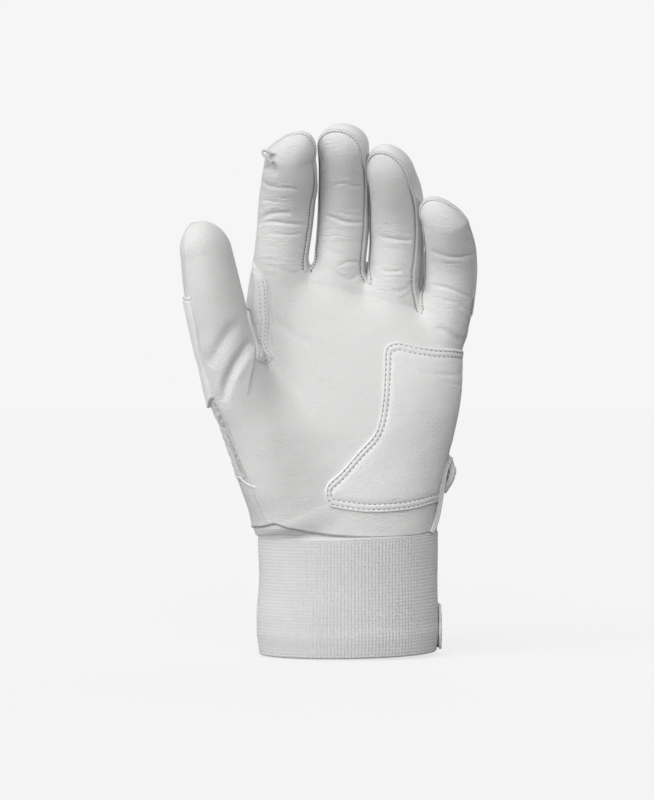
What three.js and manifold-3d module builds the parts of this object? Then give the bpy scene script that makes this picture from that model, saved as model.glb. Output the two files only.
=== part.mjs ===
// A left-hand batting glove that keeps the shape of the hand: leather palm and fingers, a
// reinforced heel, and a wide elastic cuff that closes with a hook-and-loop strap.
// Millimetres. The palm faces -Y, the fingers point up +Z and the thumb is on the -X side.
import * as THREE from "three";
import { mergeVertices } from "three/addons/utils/BufferGeometryUtils.js";
import Module from "manifold-3d";

const wasm = await Module();
wasm.setup();

// Leather, overlays and the gaps between sewn pieces
const leather = 1.2;
const overlay = 1.0;
const seamGap = 0.3;
const creaseGap = 0.4;

// Cuff and strap
const cuffWidth = 79;
const cuffDepth = 43;
const cuffHeight = 51.5;
const bandThickness = 2.4;
const liningThickness = 1.0;
const liningLow = 6; // where the lining starts above the rim
const liningHigh = 66;
const strapThickness = 1.1;
const strapLow = 4; // the strap's lower edge above the rim
const strapHeight = 40;
const strapEndHeight = 21;
const fastener = 0.5; // thickness of the hook and loop patches
const fastenerMargin = 4;
const trimProud = 0.2; // how far the trim on the strap's end stands out on each face
const strapTaperShares = [0.1, 0.4]; // where the strap narrows, from the cuff's middle
const hemBand = 2.4; // height of the smooth hem along the cuff's top edge
const lowerHem = 7;

// Palm, from the hem of the leather at the wrist up to the roots of the fingers
const palmBreadth = 94;
const palmDepth = 42;
const hemHeight = 53;
const palmLength = 117;
const knuckleDrop = 22; // how much lower the palm ends at the little finger
const ventTop = 90; // apex of the slit on the little finger's side of the wrist
const ventWidth = 5;
const ventSlope = 9; // how far the slit runs forward on its way down
const bindingWidth = 2.4;
const bindingProud = 0.6;
const grooveWidth = 3;

// Facets, and how far a cutting prism runs past what it cuts
const palmSides = 28;
const fingerSides = 14;
const fingerSteps = 6;
const domeSteps = 3;
const domeCloseShare = 0.35; // how far short of the pole the dome's last ring stops, in steps
const cuffSteps = 40;
const pathSteps = 60; // steps in which a centreline is added up
const reach = 150;
const overrun = 6;
const limbReach = 60; // the same past a finger, short of where a bent one would fold back

const degrees = Math.PI / 180;

// Fingers grow from the crease at their roots. A centreline lies in one plane: it leans sideways,
// and bends towards the palm by the tilts, given against the share of its length. A root's place
// is given in shares of the palm's breadth, depth and length. The flex is what the joint bends.
const fingers = {
  index: {
    rootShares: [-0.32, -0.06, 1], lean: 9, aim: -8, length: 53, tip: 10,
    tilt: [[0, 8], [0.3, 13], [0.5, 24], [0.7, 34], [0.85, 44], [1, 50]],
    halfWidth: 12.2, widthShares: [[0, 0.98], [0.3, 1], [0.5, 1], [0.75, 0.98], [0.9, 0.93], [1, 0.85]],
    halfDepth: 11, depthShares: [[0, 1], [0.5, 0.96], [1, 0.82]],
    stub: 40, gussets: [1],
  },
  middle: {
    rootShares: [-0.041, -0.02, 0.991], lean: 7.7, aim: -12.6, length: 59, tip: 10,
    tilt: [[0, 8], [0.3, 14], [0.5, 24], [0.7, 34], [0.85, 44], [1, 50]],
    halfWidth: 11, widthShares: [[0, 1.02], [0.3, 1], [0.5, 0.99], [0.75, 0.97], [0.9, 0.95], [1, 0.9]],
    halfDepth: 11, depthShares: [[0, 1], [0.5, 0.96], [1, 0.82]],
    stub: 40, gussets: [-1, 1],
  },
  ring: {
    rootShares: [0.208, -0.04, 0.932], lean: 9.3, aim: -14.5, length: 56, tip: 10,
    tilt: [[0, 9], [0.3, 15], [0.5, 25], [0.7, 35], [0.85, 45], [1, 51]],
    halfWidth: 12, widthShares: [[0, 0.94], [0.3, 0.97], [0.5, 1], [0.75, 1], [0.9, 0.97], [1, 0.88]],
    halfDepth: 11, depthShares: [[0, 1], [0.5, 0.98], [1, 0.82]],
    stub: 40, gussets: [-1, 1],
  },
  little: {
    rootShares: [0.46, -0.08, 0.829], lean: 9.5, aim: -19, length: 45, tip: 9,
    tilt: [[0, 10], [0.3, 18], [0.5, 28], [0.7, 38], [0.85, 47], [1, 52]],
    halfWidth: 10.9, widthShares: [[0, 1], [0.3, 1], [0.5, 0.98], [0.75, 0.94], [0.9, 0.9], [1, 0.83]],
    halfDepth: 10.6, depthShares: [[0, 1], [0.5, 0.96], [1, 0.81]],
    stub: 32, gussets: [-1],
  },
};
const thumb = {
  rootShares: [-0.262, -0.24, 0.077], lean: -27, aim: 40, length: 125, tip: 10.5,
  tilt: [[0, 4], [0.3, 7], [0.5, 13], [0.75, 22], [0.9, 27], [1, 30]],
  halfWidth: 17,
  widthShares: [[0, 0.62], [0.14, 0.98], [0.28, 1.01], [0.4, 0.99], [0.52, 0.93], [0.6, 0.87], [0.7, 0.79],
    [0.8, 0.74], [0.9, 0.715], [1, 0.69]],
  halfDepth: 14.5,
  depthShares: [[0, 0.5], [0.14, 0.85], [0.28, 1], [0.4, 0.98], [0.52, 0.9], [0.6, 0.85], [0.7, 0.8],
    [0.8, 0.76], [0.9, 0.72], [1, 0.62]],
  stub: 0, gussets: [], creaseShare: 0.74,
};
// How far the seams beside a gusset lie from the centreline, as shares of the finger's half depth
const stubTaperShare = 0.8; // how much a finger's root narrows on its way down into the palm
const seamShares = [[0, 0.42], [0.6, 0.42], [0.9, 0.3], [1, 0.2]];

// Cross-sections of the palm from the hem up: left and right as shares of the palm's breadth,
// front and back of its depth, height of its length and drop of the knuckle drop.
const palmSectionShares = [
  { height: -0.02, drop: 0, left: -0.43, right: 0.405, front: -0.5, back: 0.49 },
  { height: 0.08, drop: 0, left: -0.459, right: 0.425, front: -0.51, back: 0.49 },
  { height: 0.19, drop: 0, left: -0.47, right: 0.442, front: -0.53, back: 0.48 },
  { height: 0.32, drop: 0.05, left: -0.465, right: 0.46, front: -0.54, back: 0.47 },
  { height: 0.46, drop: 0.1, left: -0.46, right: 0.48, front: -0.53, back: 0.46 },
  { height: 0.62, drop: 0.2, left: -0.455, right: 0.508, front: -0.49, back: 0.44 },
  { height: 0.78, drop: 0.45, left: -0.45, right: 0.52, front: -0.42, back: 0.4 },
  { height: 0.92, drop: 0.85, left: -0.44, right: 0.55, front: -0.32, back: 0.32 },
  { height: 0.98, drop: 1, left: -0.39, right: 0.5, front: -0.2, back: 0.2 },
];
const sectionPower = 0.86; // below 1 squares the corners of a section

// Outlines on the palm's side: shares of the palm's breadth, then of its length above the hem
const radialSeamShares = [
  [-0.388, -0.3], [-0.388, 0.077], [-0.457, 0.2], [-0.515, 0.34], [-0.581, 0.47], [-0.622, 0.52],
  [-0.66, 0.564], [-0.716, 0.79], [-0.734, 0.904], [-0.76, 1.04], [-0.8, 1.4],
];
const hemShares = [
  [-0.9, 0.05], [-0.4, 0.062], [-0.33, 0.058], [-0.13, 0.03], [0.1, 0.006], [0.3, 0.006], [0.9, 0.03],
];
const heelPatchShares = [
  [0.7, 0.675], [0.5, 0.682], [0.2, 0.708], [0.171, 0.687], [0.157, 0.595], [0.15, 0.43], [0.125, 0.379],
  [-0.085, 0.191], [-0.103, 0.166], [-0.094, 0.129], [-0.039, 0.111], [0.19, 0.103], [0.41, 0.137], [0.7, 0.19],
];
const crotchPatchShares = [
  [-0.46, 0.99], [-0.4, 0.97], [-0.382, 0.93], [-0.37, 0.87], [-0.366, 0.8], [-0.364, 0.73],
  [-0.352, 0.68], [-0.362, 0.659], [-0.389, 0.644], [-0.412, 0.648], [-0.436, 0.7], [-0.46, 0.8],
];
const knucklePadShares = [
  [-0.33, 0.62], [-0.29, 0.58], [0.34, 0.45], [0.4, 0.47], [0.43, 0.59], [0.38, 0.66],
  [-0.2, 0.85], [-0.29, 0.85], [-0.33, 0.8],
];
const flexGrooveShares = [0.33, 0.66]; // places of the knuckle pad's grooves, across it
const sidePieceShares = { leather: 0.2, mesh: 0.53 }; // where one side piece ends and the next begins
const backSeamShare = 0.14; // the line between palm and back, as a share of the palm's depth

// Places round the cuff, as angles from the little finger's side, counted towards the back:
// where the strap is sewn on, where its free end lies, and what its pieces and patches cover
const strapRootAngle = 130;
const strapFootAngle = 18;
const strapEndAngle = -6;
const trimAngle = 4;
const bandEndAngle = 18; // where the elastic band ends beside the back panel
const hookAngles = [-2, 62];
const loopAngles = [22, 88];
const stitchAngle = 1; // the gap between two pieces sewn side by side

const axisX = new THREE.Vector3(1, 0, 0);
const axisY = new THREE.Vector3(0, 1, 0);
const axisZ = new THREE.Vector3(0, 0, 1);
const onPalm = ([across, up]) => [across * palmBreadth, hemHeight + up * palmLength];

// Straight-line reading of a table of [share, value] rows
function fromTable(table, t) {
  const next = table.findIndex(([share]) => share >= t);
  if (next === 0) return table[0][1];
  if (next < 0) return table[table.length - 1][1];
  const [t0, v0] = table[next - 1];
  const [t1, v1] = table[next];
  return v0 + ((v1 - v0) * (t - t0)) / (t1 - t0);
}

// A finger's or thumb's centreline as frames: where it is, which way it runs and how thick it is
function frameAt(limb, share) {
  const up = new THREE.Vector3(Math.sin(limb.lean * degrees), 0, Math.cos(limb.lean * degrees));
  const ahead = new THREE.Vector3(Math.sin(limb.aim * degrees), -Math.cos(limb.aim * degrees), 0);
  ahead.addScaledVector(up, -ahead.dot(up)).normalize();
  const direction = (t) => {
    const angle = fromTable(limb.tilt, t) * degrees;
    return up.clone().multiplyScalar(Math.cos(angle)).addScaledVector(ahead, Math.sin(angle));
  };
  const [across, deep, high] = limb.rootShares;
  const root = new THREE.Vector3(across * palmBreadth, deep * palmDepth, hemHeight + high * palmLength);
  const place = root.clone();
  for (let i = 0; i < pathSteps; i++) {
    place.addScaledVector(direction((share * (i + 0.5)) / pathSteps), (limb.length * share) / pathSteps);
  }
  const side = new THREE.Vector3().crossVectors(up, ahead);
  const along = direction(share);
  return {
    root, place, up, ahead, side, along,
    palmar: new THREE.Vector3().crossVectors(side, along),
    halfWidth: limb.halfWidth * fromTable(limb.widthShares, share),
    halfDepth: limb.halfDepth * fromTable(limb.depthShares, share),
    seam: limb.halfDepth * fromTable(limb.depthShares, share) * fromTable(seamShares, share),
  };
}

// A manifold solid from a closed geometry, turned the right way out
function solidOf(geometry) {
  const bare = geometry.clone();
  bare.deleteAttribute("normal");
  bare.deleteAttribute("uv");
  const merged = mergeVertices(bare, 1e-4);
  const make = (triVerts) =>
    new wasm.Manifold(new wasm.Mesh({ numProp: 3, vertProperties: merged.attributes.position.array, triVerts }));
  const triVerts = new Uint32Array(merged.index.array);
  const solid = make(triVerts);
  return solid.volume() > 0 ? solid : make(triVerts.reverse());
}

// A closed solid skinned over rings of equal count, with a fan over each end
function solidFromRings(rings) {
  const count = rings[0].length;
  const points = rings.flat();
  const middle = (ring) => ring.reduce((sum, p) => sum.add(p), new THREE.Vector3()).divideScalar(count);
  points.push(middle(rings[0]), middle(rings[rings.length - 1]));
  const index = [];
  for (let r = 0; r + 1 < rings.length; r++) {
    for (let i = 0; i < count; i++) {
      const a = r * count + i;
      const b = r * count + ((i + 1) % count);
      index.push(a, b, a + count, b, b + count, a + count);
    }
  }
  const last = (rings.length - 1) * count;
  for (let i = 0; i < count; i++) {
    const j = (i + 1) % count;
    index.push(j, i, points.length - 2);
    index.push(last + i, last + j, points.length - 1);
  }
  return solidOf(new THREE.BufferGeometry().setFromPoints(points).setIndex(index));
}

const joined = (solids) => solids.reduce((sum, solid) => sum.add(solid));

// An outline extruded square to its own plane. The outline's two axes make that plane.
function prism(outline, across, up, { origin = new THREE.Vector3(), from = -reach, to = reach } = {}) {
  const shape = new THREE.Shape(outline.map(([a, b]) => new THREE.Vector2(a, b)));
  const geometry = new THREE.ExtrudeGeometry(shape, { depth: to - from, bevelEnabled: false });
  const normal = new THREE.Vector3().crossVectors(across, up);
  geometry.translate(0, 0, from);
  geometry.applyMatrix4(new THREE.Matrix4().makeBasis(across, up, normal));
  geometry.translate(origin.x, origin.y, origin.z);
  return solidOf(geometry);
}

// Everything on one side of a plane square to an axis: a slab from one value to another
function slab(axis, from, to) {
  const across = new THREE.Vector3(axis.z, axis.x, axis.y);
  const up = new THREE.Vector3().crossVectors(axis, across);
  const far = 2 * reach;
  return prism([[-far, -far], [far, -far], [far, far], [-far, far]], across, up, { from, to });
}

// An outline seen from the palm's side, cut straight through from y = from to y = to
const frontPrism = (outline, from = -reach, to = reach) => prism(outline, axisX, axisZ, { from: -to, to: -from });

// An oval section of a finger, some way along from a frame of its centreline
function ovalRing(frame, along, offset, scale) {
  const ring = [];
  for (let i = 0; i < fingerSides; i++) {
    const angle = (2 * Math.PI * (i + 0.5)) / fingerSides;
    ring.push(
      frame.place.clone()
        .addScaledVector(frame.along, along)
        .addScaledVector(frame.side, scale * (frame.halfWidth + offset) * Math.cos(angle))
        .addScaledVector(frame.palmar, scale * (frame.halfDepth + offset) * Math.sin(angle)),
    );
  }
  return ring;
}

// A finger's sleeve or its inside: an oval swept along the centreline
function sweptLimb(limb, offset, from, to, { tail = 0, dome = false, lead = 0 } = {}) {
  const rings = [];
  if (tail) rings.push(ovalRing(frameAt(limb, from), -tail, offset, 1));
  const steps = Math.ceil(fingerSteps * (to - from));
  for (let i = 0; i <= steps; i++) {
    rings.push(ovalRing(frameAt(limb, from + ((to - from) * i) / steps), 0, offset, 1));
  }
  const end = frameAt(limb, to);
  if (lead) rings.push(ovalRing(end, lead, offset, 1));
  for (let i = 1; dome && i <= domeSteps; i++) {
    const angle = ((i / (domeSteps + domeCloseShare)) * Math.PI) / 2;
    rings.push(ovalRing(end, (limb.tip + offset) * Math.sin(angle), offset, Math.cos(angle)));
  }
  return solidFromRings(rings);
}

// The palm as a stack of rounded sections, grown or shrunk by an offset
function palmLoft(offset) {
  const rings = palmSectionShares.map((section, row) => {
    const left = section.left * palmBreadth - offset;
    const right = section.right * palmBreadth + offset;
    const top = row === palmSectionShares.length - 1 ? offset : 0;
    const bottom = row === 0 && offset < 0 ? -overrun : 0;
    const ring = [];
    for (let i = 0; i < palmSides; i++) {
      const angle = (2 * Math.PI * i) / palmSides;
      const cos = Math.cos(angle);
      const sin = Math.sin(angle);
      const x = (left + right) / 2 + ((right - left) / 2) * Math.sign(cos) * Math.abs(cos) ** sectionPower;
      const deep = (sin < 0 ? -section.front : section.back) * palmDepth + offset;
      const y = deep * Math.sign(sin) * Math.abs(sin) ** sectionPower;
      const slant = section.drop * knuckleDrop * (x / palmBreadth - section.left);
      ring.push(new THREE.Vector3(x, y, hemHeight + section.height * palmLength - slant + top + bottom));
    }
    return ring;
  });
  return solidFromRings(rings);
}

// The whole palm body: the loft, the roots of the fingers and the base of the thumb
function palmBody(offset) {
  const open = offset < 0 ? overrun : 0;
  const stubs = Object.values(fingers).map((finger) => {
    const root = frameAt(finger, 0);
    const ends = [[-finger.stub - offset, stubTaperShare], [-creaseGap / 2, 1], [open, 1]];
    const rings = ends.slice(0, open ? 3 : 2).map(([along, scale]) => ovalRing(root, along, offset, scale));
    return solidFromRings(rings);
  });
  const thumbBase = sweptLimb(thumb, offset, 0, thumb.creaseShare, { lead: open });
  return joined([palmLoft(offset), thumbBase, ...stubs]);
}

// The half of space on the palm's side of a finger's centreline, shifted by a distance that can
// follow the finger's seam: facing 1 keeps the palm's side, -1 the back
function limbRegion(limb, from, distance, facing) {
  const start = frameAt(limb, from);
  const toPlane = (point) => {
    const arm = point.clone().sub(start.root);
    return [arm.dot(start.ahead), arm.dot(start.up)];
  };
  const line = [];
  const shifted = (frame, along) =>
    frame.place.clone().addScaledVector(frame.along, along).addScaledVector(frame.palmar, distance(frame));
  const far = (limb.stub || limb.length) + overrun;
  line.push(shifted(start, -far));
  const steps = Math.ceil(fingerSteps * (1 - from));
  for (let i = 0; i <= steps; i++) line.push(shifted(frameAt(limb, from + ((1 - from) * i) / steps), 0));
  const end = frameAt(limb, 1);
  const tip = shifted(end, limb.tip + overrun);
  line.push(tip, tip.clone().addScaledVector(end.palmar, facing * limbReach));
  line.push(shifted(start, -far).addScaledVector(start.palmar, facing * limbReach));
  return prism(line.map(toPlane), start.ahead, start.up, { origin: start.root });
}

// Everything to one side of the plane in which a finger bends
function limbSide(limb, sign) {
  const { root, ahead, up } = frameAt(limb, 0);
  const far = 2 * reach;
  const square = [[-far, -far], [far, -far], [far, far], [-far, far]];
  const from = seamGap / 2;
  const [low, high] = sign > 0 ? [from, reach] : [-reach, -from];
  return prism(square, up, ahead, { origin: root, from: low, to: high });
}

// A finger's pieces: the palm leather, the back, and a gusset on each side that has one
function fingerPieces(limb, from) {
  const shift = creaseGap / 2 / limb.length;
  const outside = sweptLimb(limb, 0, from + shift, 1, { dome: true });
  const inside = sweptLimb(limb, -leather, from + shift, 1, { tail: overrun, dome: true });
  const shell = outside.subtract(inside);
  const half = seamGap / 2;
  const inFront = (distance) => limbRegion(limb, from, distance, 1);
  const behind = (distance) => limbRegion(limb, from, distance, -1);
  const band = inFront((f) => half - f.seam).intersect(behind((f) => f.seam - half));
  const plainSides = [-1, 1].filter((sign) => !limb.gussets.includes(sign));
  const wrap = plainSides.map((sign) => inFront((f) => half - f.seam).intersect(limbSide(limb, sign)));
  const pieces = {
    front: shell.intersect(joined([inFront((f) => f.seam + half), ...wrap])),
    back: shell.intersect(behind((f) => -f.seam - half)),
  };
  limb.gussets.forEach((sign) => {
    pieces[sign < 0 ? "left_gusset" : "right_gusset"] = shell.intersect(band).intersect(limbSide(limb, sign));
  });
  return pieces;
}

// The largest body of a cut, without the slivers that a cut can leave beside it
const mainBody = (solid) => solid.decompose().sort((a, b) => b.volume() - a.volume())[0];

// Points along the cuff's oval, an offset outside it, between two angles in degrees
function cuffArc(offset, fromAngle, toAngle) {
  const points = [];
  const steps = Math.ceil((cuffSteps * (toAngle - fromAngle)) / 360);
  for (let i = 0; i <= steps; i++) {
    const angle = (fromAngle + ((toAngle - fromAngle) * i) / steps) * degrees;
    points.push([(cuffWidth / 2 + offset) * Math.cos(angle), (cuffDepth / 2 + offset) * Math.sin(angle)]);
  }
  return points;
}

// A strip of the cuff's oval wall between two angles and two heights
function cuffPiece(inner, outer, low, high, fromAngle, toAngle) {
  const outline = [...cuffArc(outer, fromAngle, toAngle), ...cuffArc(inner, fromAngle, toAngle).reverse()];
  return prism(outline, axisX, axisY, { from: low, to: high });
}

// The same all the way round
function cuffRing(inner, outer, low, high) {
  const [post, bore] = [outer, inner].map((offset) => cuffArc(offset, 0, 360).slice(1));
  return prism(post, axisX, axisY, { from: low, to: high }).subtract(
    prism(bore, axisX, axisY, { from: low - overrun, to: high + overrun }),
  );
}

// The slit on the little finger's side, as lines in the plane of depth and height: each line
// runs from below the hem up to the slit's apex, beside the slit's middle by a distance
const backSeam = backSeamShare * palmDepth;
const slitLow = hemHeight - overrun;
const slitLine = (beside) => {
  const open = (Math.sign(beside) * ventWidth) / 2;
  return [[backSeam - ventSlope + open + beside, slitLow], [backSeam + beside, ventTop]];
};

// The space in front of the seam between palm and back, or behind it, clear of the slit by a
// distance. On the thumb's side the seam is a plane.
function besideSeam(facing, clearOfSlit) {
  const half = (facing * seamGap) / 2;
  const [low, apex] = slitLine(facing * clearOfSlit);
  const line = [[low[0], -reach], low, apex, [backSeam + half, ventTop + seamGap], [backSeam + half, 2 * reach]];
  const far = [[facing * reach, 2 * reach], [facing * reach, -reach]];
  const littleSide = prism([...line, ...far], axisY, axisZ, { from: -seamGap, to: reach });
  const thumbSide = facing < 0
    ? slab(axisY, -reach, backSeam + half)
    : slab(axisY, backSeam + half, reach);
  return littleSide.add(thumbSide.intersect(slab(axisX, -reach, 0)));
}

function slitBinding(facing) {
  const edge = slitLine(facing * seamGap);
  const back = slitLine(facing * (seamGap + bindingWidth)).reverse();
  return prism([...edge, ...back], axisY, axisZ, { from: 0, to: reach });
}

// Shells of the palm: the leather itself, the thin space over it for overlays, and both together
const fingerRoom = joined([
  ...Object.values(fingers).map((finger) => sweptLimb(finger, seamGap, 0, 1, { dome: true })),
  sweptLimb(thumb, seamGap, thumb.creaseShare, 1, { dome: true }),
]);
const hollow = palmBody(-leather);
const skin = palmBody(0).subtract(hollow).subtract(fingerRoom);
const overSkin = palmBody(seamGap + overlay).subtract(palmBody(seamGap)).subtract(fingerRoom);
const boundEdge = palmBody(bindingProud).subtract(hollow).subtract(fingerRoom);

const hem = hemShares.map(onPalm);
const aboveHem = frontPrism([...hem, [reach, 2 * reach], [-reach, 2 * reach]]);
const seamOutline = (shift) => radialSeamShares.map(onPalm).map(([x, z]) => [x + shift, z]);
const thumbWard = frontPrism([...seamOutline(-seamGap / 2), [-reach, 2 * reach], [-reach, 0]]);
const palmWard = frontPrism([...seamOutline(seamGap / 2), [reach, 2 * reach], [reach, 0]]);
const inFront = besideSeam(-1, seamGap * 2 + bindingWidth);
const behind = besideSeam(1, seamGap * 2 + bindingWidth);

// The back of the thumb's base, which is a piece of its own
const thumbBackEdge = -0.44 * palmBreadth;
const behindThumb = (shift) =>
  limbRegion(thumb, 0, (frame) => shift - frame.seam, -1).intersect(slab(axisX, -reach, thumbBackEdge + shift));
const thumbBackRoom = behindThumb(seamGap / 2);
const sideHeight = (share) => hemHeight + share * palmLength;
const sideSkin = skin.intersect(thumbWard).intersect(inFront).subtract(thumbBackRoom).intersect(aboveHem);
const bindingLow = sideHeight(sidePieceShares.leather);
const meshLow = bindingLow + bindingWidth + seamGap;
const stripLow = sideHeight(sidePieceShares.mesh);

const root = {
  palm_panel: skin.intersect(inFront).intersect(palmWard).intersect(aboveHem).subtract(thumbBackRoom),
  heel_patch: overSkin.intersect(frontPrism(heelPatchShares.map(onPalm))).intersect(inFront),
  crotch_patch: overSkin.intersect(frontPrism(crotchPatchShares.map(onPalm), -reach, 0)),
  back_panel: skin.intersect(behind).intersect(slab(axisZ, hemHeight, 2 * reach)),
  thumb_base_back: skin.intersect(behindThumb(-seamGap / 2)).intersect(inFront).intersect(aboveHem),
  wrist_side_leather: sideSkin.intersect(slab(axisZ, 0, bindingLow - seamGap)),
  side_binding: sideSkin.intersect(slab(axisZ, bindingLow, bindingLow + bindingWidth)),
  thumb_side_mesh: sideSkin.intersect(slab(axisZ, meshLow, stripLow - seamGap)),
  thumb_side_strip: sideSkin.intersect(slab(axisZ, stripLow, 2 * reach)),
  slit_front_binding: boundEdge.intersect(slitBinding(-1)).intersect(aboveHem),
  slit_back_binding: boundEdge.intersect(slitBinding(1)).intersect(slab(axisZ, hemHeight, ventTop)),
};

// The knuckle pad on the back, parted by a groove where the hand bends
const padOutline = knucklePadShares.map(onPalm);
const padLow = padOutline[0][1] - overrun;
const padHigh = padLow + 2 * overrun;
const pad = overSkin.intersect(frontPrism(padOutline, backSeam + overlay, reach));
const grooves = flexGrooveShares.map((share) => {
  const left = THREE.MathUtils.lerp(padOutline[0][0], padOutline[4][0], share) - grooveWidth / 2;
  const right = left + grooveWidth;
  return frontPrism([[left, padLow], [right, padLow], [right, padHigh], [left, padHigh]], 0, reach);
});
root.knuckle_pad = pad.subtract(joined(grooves));

// The cuff: a knitted lining right round, an elastic band at the front, a panel at the back
const bandInner = -bandThickness;
const liningOuter = bandInner - seamGap;
const bandFrom = strapRootAngle;
const bandTo = 360 + bandEndAngle;
const bandLow = lowerHem + seamGap;
const bandHigh = cuffHeight - hemBand;
Object.assign(root, {
  wrist_lining: cuffRing(liningOuter - liningThickness, liningOuter, liningLow, liningHigh),
  cuff_band: cuffPiece(bandInner, 0, bandLow, bandHigh - seamGap, bandFrom, bandTo),
  cuff_top_hem: cuffPiece(bandInner, 0, bandHigh, cuffHeight, bandFrom, bandTo),
  cuff_lower_hem: cuffPiece(bandInner, 0, 0, lowerHem, bandFrom, bandTo),
  cuff_back_panel: cuffPiece(bandInner, 0, 0, cuffHeight, bandEndAngle + stitchAngle, bandFrom - stitchAngle),
});

// The strap, sewn on at its foot on the thumb's side, lies over the back and is held by hooks
const loopOuter = seamGap + fastener;
const hookInner = loopOuter + seamGap;
const strapInner = hookInner + fastener + seamGap;
const strapOuter = strapInner + strapThickness;
const strapHigh = strapLow + strapHeight;
const patchLow = strapLow + fastenerMargin;
const patchHigh = strapLow + strapEndHeight - fastenerMargin / 2;
const [taperFrom, taperTo] = strapTaperShares.map((share) => share * cuffWidth);
const strapOutline = [
  [-reach, strapLow], [reach, strapLow], [reach, strapLow + strapEndHeight],
  [taperTo, strapLow + strapEndHeight], [taperFrom, strapHigh], [-reach, strapHigh],
];
Object.assign(root, {
  loop_patch: cuffPiece(seamGap, loopOuter, patchLow, strapHigh - fastenerMargin, ...loopAngles),
  strap_foot: cuffPiece(seamGap, strapOuter, strapLow, strapHigh, strapRootAngle, strapRootAngle + strapFootAngle),
});
const trimHigh = strapLow + strapEndHeight;
const trimAngles = [strapEndAngle - trimAngle, strapEndAngle - stitchAngle / 2];
const strap = {
  strap_end_trim: cuffPiece(strapInner - trimProud, strapOuter + trimProud, strapLow, trimHigh, ...trimAngles),
  strap_tab: cuffPiece(strapInner, strapOuter, strapLow, strapHigh, strapEndAngle, strapRootAngle - stitchAngle / 2)
    .intersect(frontPrism(strapOutline)),
  hook_patch: cuffPiece(hookInner, hookInner + fastener, patchLow, patchHigh, ...hookAngles),
};

// Each material of the glove, and the pieces that are made of it
const materials = {
  palm_leather: { color: 0xe8e7e4, roughness: 0.55, metalness: 0 },
  back_textile: { color: 0xdfdfde, roughness: 0.8, metalness: 0 },
  elastic: { color: 0xd9d9d7, roughness: 0.85, metalness: 0 },
  lining: { color: 0xcfcfce, roughness: 0.9, metalness: 0 },
  trim: { color: 0xf0f0ee, roughness: 0.5, metalness: 0 },
  hook_and_loop: { color: 0xdcdcda, roughness: 0.95, metalness: 0 },
};
const materialOf = (name) => {
  if (/gusset|back_panel|side_mesh|base_back/.test(name)) return "back_textile";
  if (/cuff/.test(name)) return "elastic";
  if (/lining/.test(name)) return "lining";
  if (/binding|trim/.test(name)) return "trim";
  if (/hook|loop/.test(name)) return "hook_and_loop";
  return "palm_leather";
};

const glove = new THREE.Group();

function addNode(name, solid) {
  const { vertProperties, triVerts } = mainBody(solid).getMesh();
  const geometry = new THREE.BufferGeometry();
  geometry.setAttribute("position", new THREE.BufferAttribute(vertProperties, 3));
  geometry.setIndex(new THREE.BufferAttribute(triVerts, 1));
  geometry.computeVertexNormals();
  const mesh = new THREE.Mesh(geometry, new THREE.MeshStandardMaterial(materials[materialOf(name)]));
  mesh.name = name;
  glove.add(mesh);
}

Object.entries({ ...root, ...strap }).forEach(([name, solid]) => addNode(name, solid));
Object.entries(fingers).forEach(([name, finger]) => {
  Object.entries(fingerPieces(finger, 0)).forEach(([piece, solid]) => addNode(`${name}_${piece}`, solid));
});
Object.entries(fingerPieces(thumb, thumb.creaseShare)).forEach(([piece, solid]) => {
  addNode(`thumb_${piece}`, solid);
});

// The origin is on the floor under the middle of the glove's box
const box = new THREE.Box3().setFromObject(glove);
const middle = box.getCenter(new THREE.Vector3());
glove.position.set(-middle.x, -middle.y, -box.min.z);

export default glove;
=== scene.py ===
# A white leather batting glove, seen from the palm, that stands on its wide elastic cuff.
# Lengths are millimetres in the hand frame: x to the little finger's side, y away from the
# camera, z up, with the origin at the middle of the cuff's rim on the floor. mesh_object turns
# them into metres in the frame of the part.
import math

import bmesh
import bpy
import numpy as np
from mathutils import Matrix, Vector, geometry


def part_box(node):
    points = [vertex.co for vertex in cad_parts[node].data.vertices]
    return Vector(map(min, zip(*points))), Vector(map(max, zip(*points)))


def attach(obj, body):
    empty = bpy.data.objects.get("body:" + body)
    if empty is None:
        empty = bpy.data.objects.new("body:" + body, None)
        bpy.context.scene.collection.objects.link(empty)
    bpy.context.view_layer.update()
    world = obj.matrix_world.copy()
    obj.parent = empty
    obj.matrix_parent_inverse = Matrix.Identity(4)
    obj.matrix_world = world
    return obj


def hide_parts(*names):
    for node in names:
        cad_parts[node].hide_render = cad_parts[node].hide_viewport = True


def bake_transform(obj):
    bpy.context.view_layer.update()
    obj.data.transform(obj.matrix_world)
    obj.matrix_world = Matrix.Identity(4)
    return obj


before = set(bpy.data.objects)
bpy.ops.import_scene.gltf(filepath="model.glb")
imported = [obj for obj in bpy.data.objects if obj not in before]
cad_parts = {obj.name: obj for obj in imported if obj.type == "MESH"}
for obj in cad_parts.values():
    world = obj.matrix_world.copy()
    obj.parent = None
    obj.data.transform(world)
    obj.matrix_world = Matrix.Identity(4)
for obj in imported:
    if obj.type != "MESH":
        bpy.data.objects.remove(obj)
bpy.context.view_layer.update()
MM = 0.001

# Cuff and strap
CUFF_WIDTH, CUFF_DEPTH, CUFF_HEIGHT = 79.0, 43.0, 51.5
BAND_THICKNESS = 2.4
STRAP_ROOT_ANGLE, STRAP_FOOT_ANGLE, STRAP_END_ANGLE, BAND_END_ANGLE = 130.0, 18.0, -6.0, 18.0
STRAP_LOW, STRAP_HEIGHT, STRAP_END_HEIGHT = 4.0, 40.0, 21.0
WEAVE_ACROSS, WEAVE_UP = 1.5, 1.45

band_low, band_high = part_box("cuff_band")
CENTRE = np.array([band_high.x / MM - CUFF_WIDTH / 2, band_low.y / MM + CUFF_DEPTH / 2, 0.0])

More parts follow.
